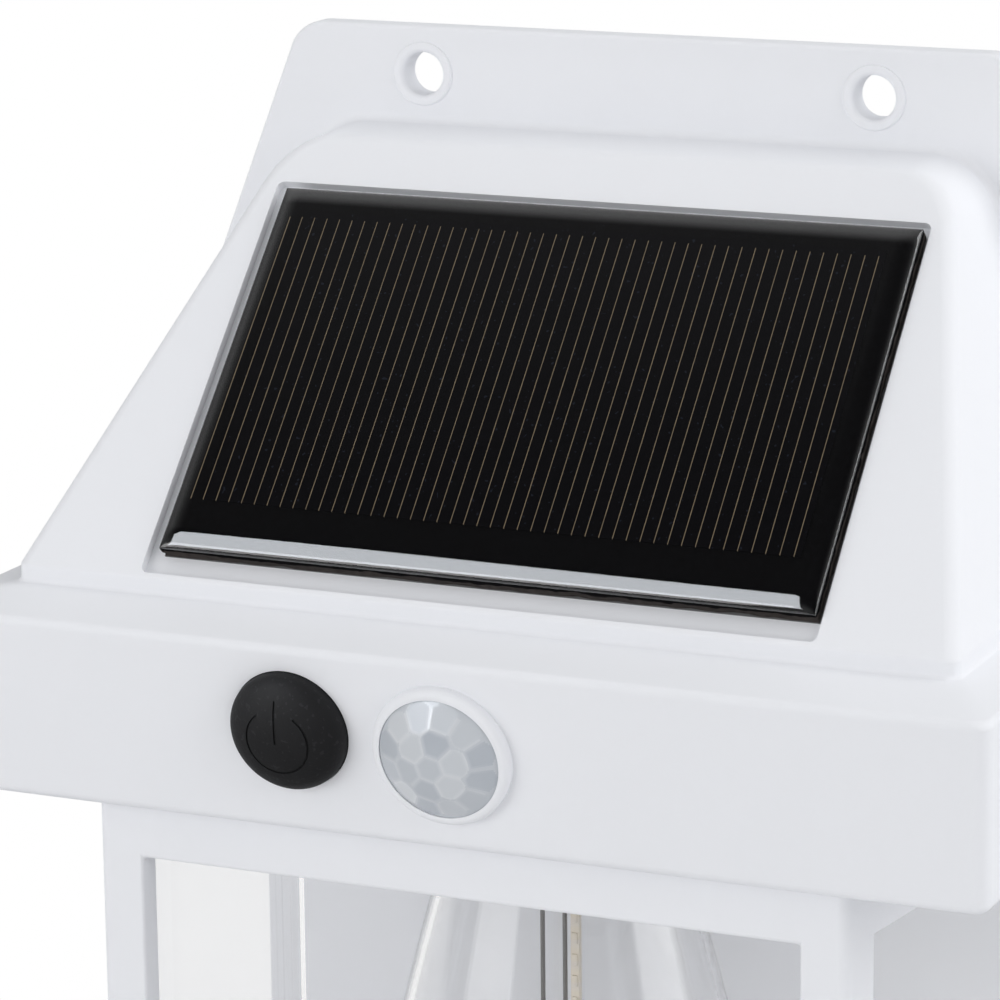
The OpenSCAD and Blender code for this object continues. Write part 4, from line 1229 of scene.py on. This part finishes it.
@dataclass
class SensorLens:
    """A shallow milky dome of flat hexagon facets inside a smooth rim."""

    hood: Hood
    radius: float = 6.45
    height: float = 2.45
    lift: float = 1.15
    step: float = 16.0
    cut: float = 0.9865
    seam: float = 0.012
    stem: float = 2.2

    @property
    def ball(self) -> float:
        """Radius of the ball that the dome is part of."""
        return (self.radius ** 2 + self.height ** 2) / (2 * self.height)

    def facets(self) -> list[Vector]:
        """The facets' directions.

        Returns:
            One straight up, then rings of six and twelve.
        """
        ways = [Vector((0, 0, 1))]
        for ring in (1, 2):
            for k in range(6 * ring):
                lean, turn = math.radians(self.step * ring), math.radians(k * 60 / ring + 15)
                ways.append(Vector((math.sin(lean) * math.cos(turn), math.sin(lean) * math.sin(turn),
                                    math.cos(lean))))
        return ways

    def tell_facets(self, dome: Piece, ways: list[Vector]) -> None:
        """Stores each facet's painted shade, the middle tone for the smooth rim, and the painted highlight
        along each seam and faintly over the rim, as 0 to 1.

        Args:
            dome: the dome, with its ball's centre at the origin.
            ways: the facets' directions.
        """
        mesh = dome.obj.data
        facet_shades, seam_highlights = (mesh.attributes.new(name, "FLOAT", "FACE") for name in ("facet", "seam"))
        for polygon, tone, seam in zip(mesh.polygons, facet_shades.data, seam_highlights.data):
            way = polygon.center.normalized()
            first, second = sorted(range(len(ways)), key=lambda i: -way.dot(ways[i]))[:2]
            flat = self.cut / way.dot(ways[first]) < 1.0
            # Painted shade: a tone for each flat facet, standing in for facets lit differently.
            tone.value = 0.5 + 0.5 * math.sin(first * 2.4) if flat else 0.5
            gap = way.dot(ways[first]) - way.dot(ways[second])
            # Painted highlight along each seam, and a faint one over the smooth rim.
            seam.value = max(0.0, 1.0 - gap / self.seam) if flat else 0.3

    def build(self) -> None:
        """Cuts a ball into a cap, and presses the facets into it."""
        ways, drop = self.facets(), self.height - self.ball
        bpy.ops.object.select_all(action="DESELECT")
        bpy.ops.mesh.primitive_uv_sphere_add(segments=144, ring_count=200, radius=self.ball * MM)
        dome = Piece("sensor_dome")
        with dome.editing():
            bpy.ops.mesh.select_all(action="SELECT")
            bpy.ops.mesh.bisect(plane_co=(0, 0, -drop * MM), plane_no=(0, 0, 1), clear_inner=True)
        for vertex in dome.obj.data.vertices:
            way = vertex.co.normalized()
            reach = min([1.0] + [self.cut / max(0.1, way.dot(n)) for n in ways])
            vertex.co = way * self.ball * reach * MM
        with dome.editing("EDGE"):
            dome.pick(lambda c, d, e: e.is_boundary, "EDGE")
            drawn = (self.stem + self.lift) * MM
            bpy.ops.mesh.extrude_region_move(TRANSFORM_OT_translate={"value": (0, 0, -drawn)})
            bpy.ops.mesh.extrude_region_move(TRANSFORM_OT_translate={"value": (0, 0, 0)})
            grow = (self.radius + 1) / self.radius
            bpy.ops.transform.resize(value=(grow, grow, 1), center_override=(0, 0, 0))
            bpy.ops.mesh.extrude_region_move(TRANSFORM_OT_translate={"value": (0, 0, -MM)})
        self.tell_facets(dome, ways)
        dome.move(spot((0, 0, drop + self.lift))).tidy()
        dome.apply("SOLIDIFY", thickness=0.6 * MM, offset=-1.0)
        dome.move(spot((self.hood.lens[0], self.hood.lens[1], 0), 0, self.hood.band_spot))
        dome.finish(MilkyLens("milky_plastic"), Slot.LENS, replaces=["sensor_lens"], angle=30)


# ---- Lantern and bulb ----


@dataclass
class Lantern:
    """Three-sided frame with open windows, a clear liner and a base."""

    depth: float = 52.33
    back: float = 3.0
    half: float = 41.52
    flare: float = 7.6
    top: float = -69.87
    base: float = -139.47
    foot: float = -141.87
    window_top: float = -76.07
    window_foot: float = -132.87
    wall: float = 3.0
    post_front: float = 5.05
    post_side: float = 5.8
    base_screw: tuple[float, float] = (37.59, 47.83)

    def plan(self, name: str, inset: float, back: float, low: float, high: float) -> Piece:
        """A block with the lantern's flared plan.

        Args:
            name: the block's name.
            inset: how far the plan is drawn in.
            back: depth of its rear face.
            low: height of its foot.
            high: height of its top.

        Returns:
            The block.
        """
        front = self.depth - inset
        tan = math.tan(math.radians(self.flare))

        def half(depth: float) -> float:
            """Half width of the plan at a depth."""
            return self.half + (self.depth - depth) * tan - inset / math.cos(math.radians(self.flare))

        block = Piece.block(name, (-half(front), -front, low), (half(front), -back, high))
        with block.editing():
            block.pick(lambda c, n, f: n.y > 0.9)
            bpy.ops.transform.resize(value=(half(back) / half(front), 1, 1), center_override=(0, -back * MM, 0))
        return block

    def front_corners(self, c: Vector, d: Vector, e: bmesh.types.BMEdge) -> bool:
        """Whether an edge is an upright front corner."""
        return abs(d.z) > 0.9 * d.length and c.y < -self.depth + 8

    def base_places(self, sunk: float = 0.0) -> list[Matrix]:
        """Places of the base's screws, seen from below."""
        x, y = self.base_screw
        return [spot((side * x, -y, self.foot + sunk), 180) for side in (-1, 1)]

    def build_frame(self) -> None:
        """The frame with its window openings and softened edges."""
        frame_piece = self.plan("lantern_moulding", 0, self.back, self.base, self.top)
        frame_piece.round(1.35, self.front_corners, 6)
        core = self.plan("core", self.wall, self.back - 1, self.base - 1, self.top + 1)
        frame_piece.take(core.round(0.5, self.front_corners, 3))
        high, low = self.window_top, self.window_foot
        wide = self.half - self.post_front
        frame_piece.take(Piece.block("front_window", (-wide, -self.depth - 1, low),
                                     (wide, -self.depth + self.wall + 1, high)))
        frame_piece.take(Piece.block("side_windows", (-60, -self.depth + self.post_side, low),
                                     (60, -self.back + 1, high)))
        frame_piece.round(0.4, lambda c, d, e: e.calc_face_angle(0.0) > 0.9 and c.z < self.top - 0.5
                          and c.y < -self.back - 0.5, 3)
        frame_piece.finish(WHITE, Slot.WHITE, replaces=["lantern_frame"])

    def build_base(self) -> None:
        """The base with a soft rim and a locating rib."""
        base = self.plan("lantern_floor", 0, self.back, self.foot, self.base)
        base.round(1.35, self.front_corners, 6)
        base.round(0.5, lambda c, d, e: c.z < self.foot + 0.1 and abs(d.z) < 0.1, 3)
        rib = self.plan("rib", 9.15, 14, self.base - 0.2, self.base + 1.5)
        rib.take(self.plan("rib_core", 10.65, 15.5, self.base - 1, self.base + 3)).soften(0.25, 2)
        base.take(rib, "UNION").sink_screws(self.base_places(), 3.0)
        base.finish(WHITE, Slot.WHITE, replaces=["lantern_base"])

    def build(self) -> None:
        """Frame and base; the liner is the solid itself with its own finish."""
        self.build_frame()
        self.build_base()


@dataclass
class Bulb:
    """Clear bulb with a neck through the hood's floor, and the strip inside it."""

    depth: float = 25.49
    neck: float = 10.5
    radius: float = 21.09
    top: float = -69.87
    foot: float = -131.07
    foot_height: float = 19.0
    wall: float = 1.0
    strip_x: float = 1.3
    strip_foot: float = -122.07
    strip_top: float = -63.27
    chip_pitch: float = 2.4

    def skin(self, inset: float) -> list[tuple[float, float]]:
        """The bulb's outline from its neck down.

        Args:
            inset: how far it is drawn in.

        Returns:
            (radius, height) points.
        """
        shoulder, steps = self.foot + self.foot_height, 18
        side = [(self.neck + (self.radius - self.neck) * (0.8 * t + 0.2 * math.sin(math.pi / 2 * t)) - inset,
                 self.top + (shoulder - self.top) * t) for t in (i / steps for i in range(steps))]
        bowl = [((self.radius - inset) * math.cos(a), shoulder - (self.foot_height - inset) * math.sin(a))
                for a in (math.pi / 2 * i / steps for i in range(steps))]
        return side + bowl + [(0.0, self.foot + inset)]

    def build_glass(self) -> None:
        """Spins the outer skin, the flange and the inner skin as one closed shell."""
        inner = self.skin(self.wall)
        outline = inner[::-1] + [(self.neck - self.wall, -66.67), (self.neck + 1.6, -66.67),
                                 (self.neck + 1.6, -67.87), (self.neck, -67.87)] + self.skin(0.0)
        glass = Piece.lathe("bulb_shell", outline, spot((0, -self.depth, 0)), steps=128)
        glass.finish(BULB, Slot.CLEAR, replaces=["bulb_envelope"], angle=40)

    def build_strip(self) -> None:
        """The light strip with its row of chips."""
        x, y = self.strip_x, -self.depth
        strip = Piece.block("chip_strip", (x - 0.5, y - 0.4, self.strip_foot),
                            (x + 0.5, y + 0.35, self.strip_top))
        strip.soften(0.08, 2)
        chips = int((self.strip_top - self.strip_foot) / self.chip_pitch) - 2
        for k in range(chips):
            z = self.strip_foot + 2.0 + self.chip_pitch * k
            chip = Piece.block("chip", (x - 0.34, y - 0.62, z), (x + 0.34, y - 0.3, z + 1.3)).soften(0.1, 2)
            chip.obj.select_set(True)
            strip.obj.select_set(True)
            bpy.context.view_layer.objects.active = strip.obj
            bpy.ops.object.join()
        strip.finish(Glow("phosphor_strip"), Slot.STRIP, replaces=["light_strip"])

    def build(self) -> None:
        """Shell and strip."""
        self.build_glass()
        self.build_strip()


# ---- Rear side and screws ----


@dataclass
class RearSide:
    """The rear cover and the screws that show."""

    hood: Hood
    lantern: Lantern
    cover_screws: tuple = ((29.20, -15.40), (41.48, -59.96))
    head: float = 2.1
    head_depth: float = 1.0
    shank: float = 1.1

    def screw(self, name: str, length: float) -> Piece:
        """A sunk-head screw pointing down, with a cross recess.

        Args:
            name: the screw's name.
            length: from its tip to the top of its head.

        Returns:
            The screw.
        """
        screw = Piece.lathe(name, [(0, -length), (self.shank * 0.7, -length), (self.shank, -length + 0.7),
                                   (self.shank, -self.head_depth), (self.head, -0.12), (self.head - 0.1, 0),
                                   (0, 0.05)], steps=40)
        for turn in (0, 90):
            slot_cut = Piece.block("cross", (-0.3, -1.35, -0.65), (0.3, 1.35, 1))
            with slot_cut.editing():
                slot_cut.pick(lambda c, n, f: n.z < -0.9)
                bpy.ops.transform.resize(value=(0.5, 0.45, 1), center_override=(0, 0, 0))
            slot_cut.move(Matrix.Rotation(math.radians(turn), 4, "Z"))
            screw.take(slot_cut)
        return screw

    def group(self, name: str, length: float, places: Sequence[Matrix], replaces: str) -> None:
        """One screw, copied to its places and joined under one name.

        Args:
            name: the group's name.
            length: a screw's length.
            places: their places, where Z points out of the head.
            replaces: the solid that the group stands for.
        """
        first = self.screw(name, length)
        copies = []
        for place in places:
            copy = first.obj.copy()
            copy.data = first.obj.data.copy()
            bpy.context.scene.collection.objects.link(copy)
            copy.data.transform(place)
            copies.append(copy)
        bpy.data.objects.remove(first.obj)
        bpy.ops.object.select_all(action="DESELECT")
        for copy in copies:
            copy.select_set(True)
        bpy.context.view_layer.objects.active = copies[0]
        bpy.ops.object.join()
        joined = Piece(name)
        joined.finish(STEEL, Slot.STEEL, replaces=[replaces], angle=30)

    def build(self) -> None:
        """The cover with its sunk holes, and three groups of screws."""
        cover = self.hood.cover_slab("rear_lid", 0.15, 0.2, 1.8)
        cover.round(0.35, lambda c, d, e: not along_y(c, d) and e.calc_face_angle(0.0) > 0.9, 3)
        places = [spot((side * x, -0.2, z), -90) for side in (-1, 1) for x, z in self.cover_screws]
        cover.sink_screws(places, 3.0).finish(WHITE, Slot.WHITE, replaces=["rear_cover"])
        sunk = [place @ Matrix.Translation((0, 0, -0.05 * MM)) for place in places]
        self.group("cover_screw_set", 8.2, sunk, "rear_cover_screws")
        self.group("rail_screw_set", 9.0, self.hood.rail_places(0.05), "lantern_screws")
        self.group("base_screw_set", 6.5, self.lantern.base_places(0.05), "base_screws")


# ---- Solids that keep their own shape ----


@dataclass
class Solids:
    """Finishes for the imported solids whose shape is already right."""

    finishes: dict = field(default_factory=lambda: {
        "rear_cover_seal": SEAL_RUBBER, "panel_adhesive": FOAM, "solar_cells": CellSheet("solar_cell_sheet"),
        "panel_leads": Wires("panel_wires", 22.6), "switch_plunger": BLACK_PLASTIC,
        "switch_body": Metal("switch_can", (0.62, 0.62, 0.60), 0.35), "control_board": GREEN_BOARD,
        "control_chip": Moulded("chip_plastic", (0.020, 0.020, 0.022), (0.028, 0.028, 0.03), rough=0.55),
        "board_components": Moulded("component_bodies", (0.20, 0.15, 0.10), (0.09, 0.08, 0.07), cloud=200.0),
        "board_screws": STEEL, "clamp_screws": STEEL,
        "sensor_can": Metal("sensor_can_metal", (0.66, 0.62, 0.52), 0.28),
        "sensor_window": Moulded("sensor_filter", (0.05, 0.05, 0.055), (0.07, 0.07, 0.075), rough=0.2),
        "battery_cell": SLEEVE, "battery_leads": Wires("battery_wires", 0.0), "battery_socket": IVORY,
        "battery_plug": IVORY, "bulb_clamp": INNER_WHITE, "light_board": WHITE_BOARD, "strip_leads": LEAD,
        "light_board_leads": Wires("light_board_wires", 5.0), "clear_liner": CLEAR})

    def dress(self, nodes: dict[str, bpy.types.Object]) -> None:
        """Assigns each solid's finish through its material slots.

        Args:
            nodes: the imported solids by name.
        """
        for name, finish in self.finishes.items():
            node = nodes[name]
            if not node.material_slots:
                node.data.materials.append(None)
            for material_slot in node.material_slots:
                material_slot.material = finish.material()
            LOG.info("%s: finish %s", name, finish.name)


# ---- Studio ----


@dataclass
class Studio:
    """Camera, lamps, floor and surroundings."""

    lens: float = 163.296
    azimuth: float = 24.26
    elevation: float = 13.53
    roll: float = -0.63
    target: Point = (-0.17, -41.4, -37.1)
    distance: float = 458.9
    shift: tuple[float, float] = (0.001, 0.0017)
    floor: float = -142.0
    ambient: float = 0.53
    room: float = 0.25
    softbox: float = 6.0
    softbox_x: tuple[float, float] = (-0.60, -0.24)
    softbox_z: tuple[float, float] = (0.255, 0.80)
    side_softbox: float = 3.0
    ceiling: float = 0.6

    def camera(self) -> None:
        """Stands the camera where the photograph was taken from."""
        a, e, r = (math.radians(v) for v in (self.azimuth, self.elevation, self.roll))
        look = Vector((-math.sin(a) * math.cos(e), math.cos(a) * math.cos(e), -math.sin(e)))
        right = Vector((math.cos(a), math.sin(a), 0))
        up = right.cross(look)
        across = right * math.cos(r) + up * math.sin(r)
        above = up * math.cos(r) - right * math.sin(r)
        data = bpy.data.cameras.new("camera")
        data.lens, data.sensor_width = self.lens, 36.0
        data.shift_x, data.shift_y = self.shift
        data.clip_start, data.clip_end = 0.01, 20.0
        camera = bpy.data.objects.new("camera", data)
        place = Matrix((across, above, -look)).transposed().to_4x4()
        place.translation = (Vector(self.target) - look * self.distance) * MM
        camera.matrix_world = place
        bpy.context.scene.collection.objects.link(camera)
        bpy.context.scene.camera = camera

    def lamp(self, name: str, at: Point, towards: Point, size: float, power: float, tint: Colour,
             in_gloss: bool = True) -> None:
        """One square soft lamp.

        Args:
            name: the lamp's name.
            at: its place.
            towards: the point that it faces.
            size: its side in millimetres.
            power: in watts.
            tint: its colour.
            in_gloss: whether glossy surfaces mirror it.
        """
        data = bpy.data.lights.new(name, "AREA")
        data.size, data.energy, data.color = size * MM, power, tint
        lamp = bpy.data.objects.new(name, data)
        lamp.visible_glossy = in_gloss
        lamp.location = Vector(at) * MM
        lamp.rotation_euler = (Vector(towards) - Vector(at)).to_track_quat("-Z", "Y").to_euler()
        bpy.context.scene.collection.objects.link(lamp)

    def surroundings(self) -> None:
        """White to the eye and through clear plastic, an even light on surfaces, and in gloss a
        dim room with a dark ceiling, a bright softbox in front on the left and one on the right."""
        shader = Shader(bpy.data.worlds.new("studio"))
        bpy.context.scene.world = shader.owner
        background = shader.tree.nodes["Background"]
        way = shader.add("ShaderNodeTexCoord", {}, {}, "Generated")
        x, y, z = (shader.add("ShaderNodeSeparateXYZ", {}, {0: way}, axis) for axis in "XYZ")

        def ramp(value: Value, start: float, end: float) -> Value:
            """A smooth step from 0 at the start to 1 at the end."""
            return shader.add("ShaderNodeMapRange", {"interpolation_type": "SMOOTHSTEP"},
                              {"Value": value, 1: start, 2: end, 3: 0.0, 4: 1.0})

        below = 1 - ramp(z, 0.45, 0.75)
        (left, right), (low, high) = self.softbox_x, self.softbox_z
        softbox = (ramp(x, left - 0.04, left) * (1 - ramp(x, right, right + 0.04)) * ramp(z, low - 0.025, low)
                   * (1 - ramp(z, high, high + 0.02)) * (y < -0.4))
        side = ramp(x, 0.80, 0.86) * ramp(y, -0.14, -0.06) * ramp(z, -0.2, -0.1)
        side = side * (1 - ramp(z, 0.45, 0.55))
        ceiling = (1 - below) * ramp(y, -0.31, 0.12)
        room = self.room * (0.1 + 0.9 * below) * (1 - 0.4 * ramp(x, -0.2, 0.6))
        room = room + side * self.side_softbox + ceiling * self.ceiling
        gloss, through, seen = (shader.ray(kind) for kind in ("Glossy", "Transmission", "Camera"))
        even = (1 - gloss.either(through).either(seen)) * self.ambient
        tint = shader.blend(gloss * softbox, (0.985, 0.99, 1.0), (0.90, 0.94, 1.0))
        shader.feed(background.inputs["Color"], tint)
        shader.feed(background.inputs["Strength"], seen.either(
            even + gloss * (room + softbox * self.softbox) + (1 - gloss) * through * (0.02 + 0.98 * below)))

    def ground(self) -> None:
        """A plain pale floor."""
        bpy.ops.object.select_all(action="DESELECT")
        bpy.ops.mesh.primitive_grid_add(x_subdivisions=4, y_subdivisions=4, size=3.2,
                                        location=(0, 0, self.floor * MM))
        floor = Piece("floor")
        shader = Shader(bpy.data.materials.new("floor_paper"))
        tone = shader.grain(6.0, 3.0)
        shader.set(Base_Color=shader.blend(tone, (0.84, 0.84, 0.845), (0.82, 0.82, 0.825)), Roughness=0.8)
        for kind, strength in (("Glossy", self.room), ("Transmission", 1.0), ("Camera", 1.0)):
            shader.swap_for(shader.ray(kind), shader.add("ShaderNodeEmission", {}, {"Strength": strength}))
        floor.obj.data.materials.append(shader.owner)

    def build(self) -> None:
        """Everything round the object."""
        bpy.context.scene.view_settings.view_transform = "Standard"
        self.camera()
        self.surroundings()
        self.ground()
        self.lamp("left_box", (-560, -760, 60), (0, -30, -40), 650, 3.2, (1.0, 1.0, 1.0))
        self.lamp("right_box", (850, -250, 330), (0, -30, -40), 550, 2.2, (0.99, 0.99, 1.0),
                  in_gloss=False)
        self.lamp("rear_box", (600, 300, 700), (0, -30, -40), 600, 3.3, (0.98, 0.99, 1.0))


def main() -> None:
    """Builds every sub-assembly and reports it."""
    logging.basicConfig(level=logging.INFO, format="%(name)s %(message)s")
    hood = Hood()
    lantern = Lantern()
    assemblies = [Studio(), hood, SolarPanel(hood), PowerButton(hood), SensorLens(hood), lantern, Bulb(),
                  RearSide(hood, lantern)]
    for assembly in assemblies:
        LOG.info("building %s", type(assembly).__name__)
        assembly.build()
    Solids().dress(frame["nodes"])


if __name__ == "__main__":
    main()
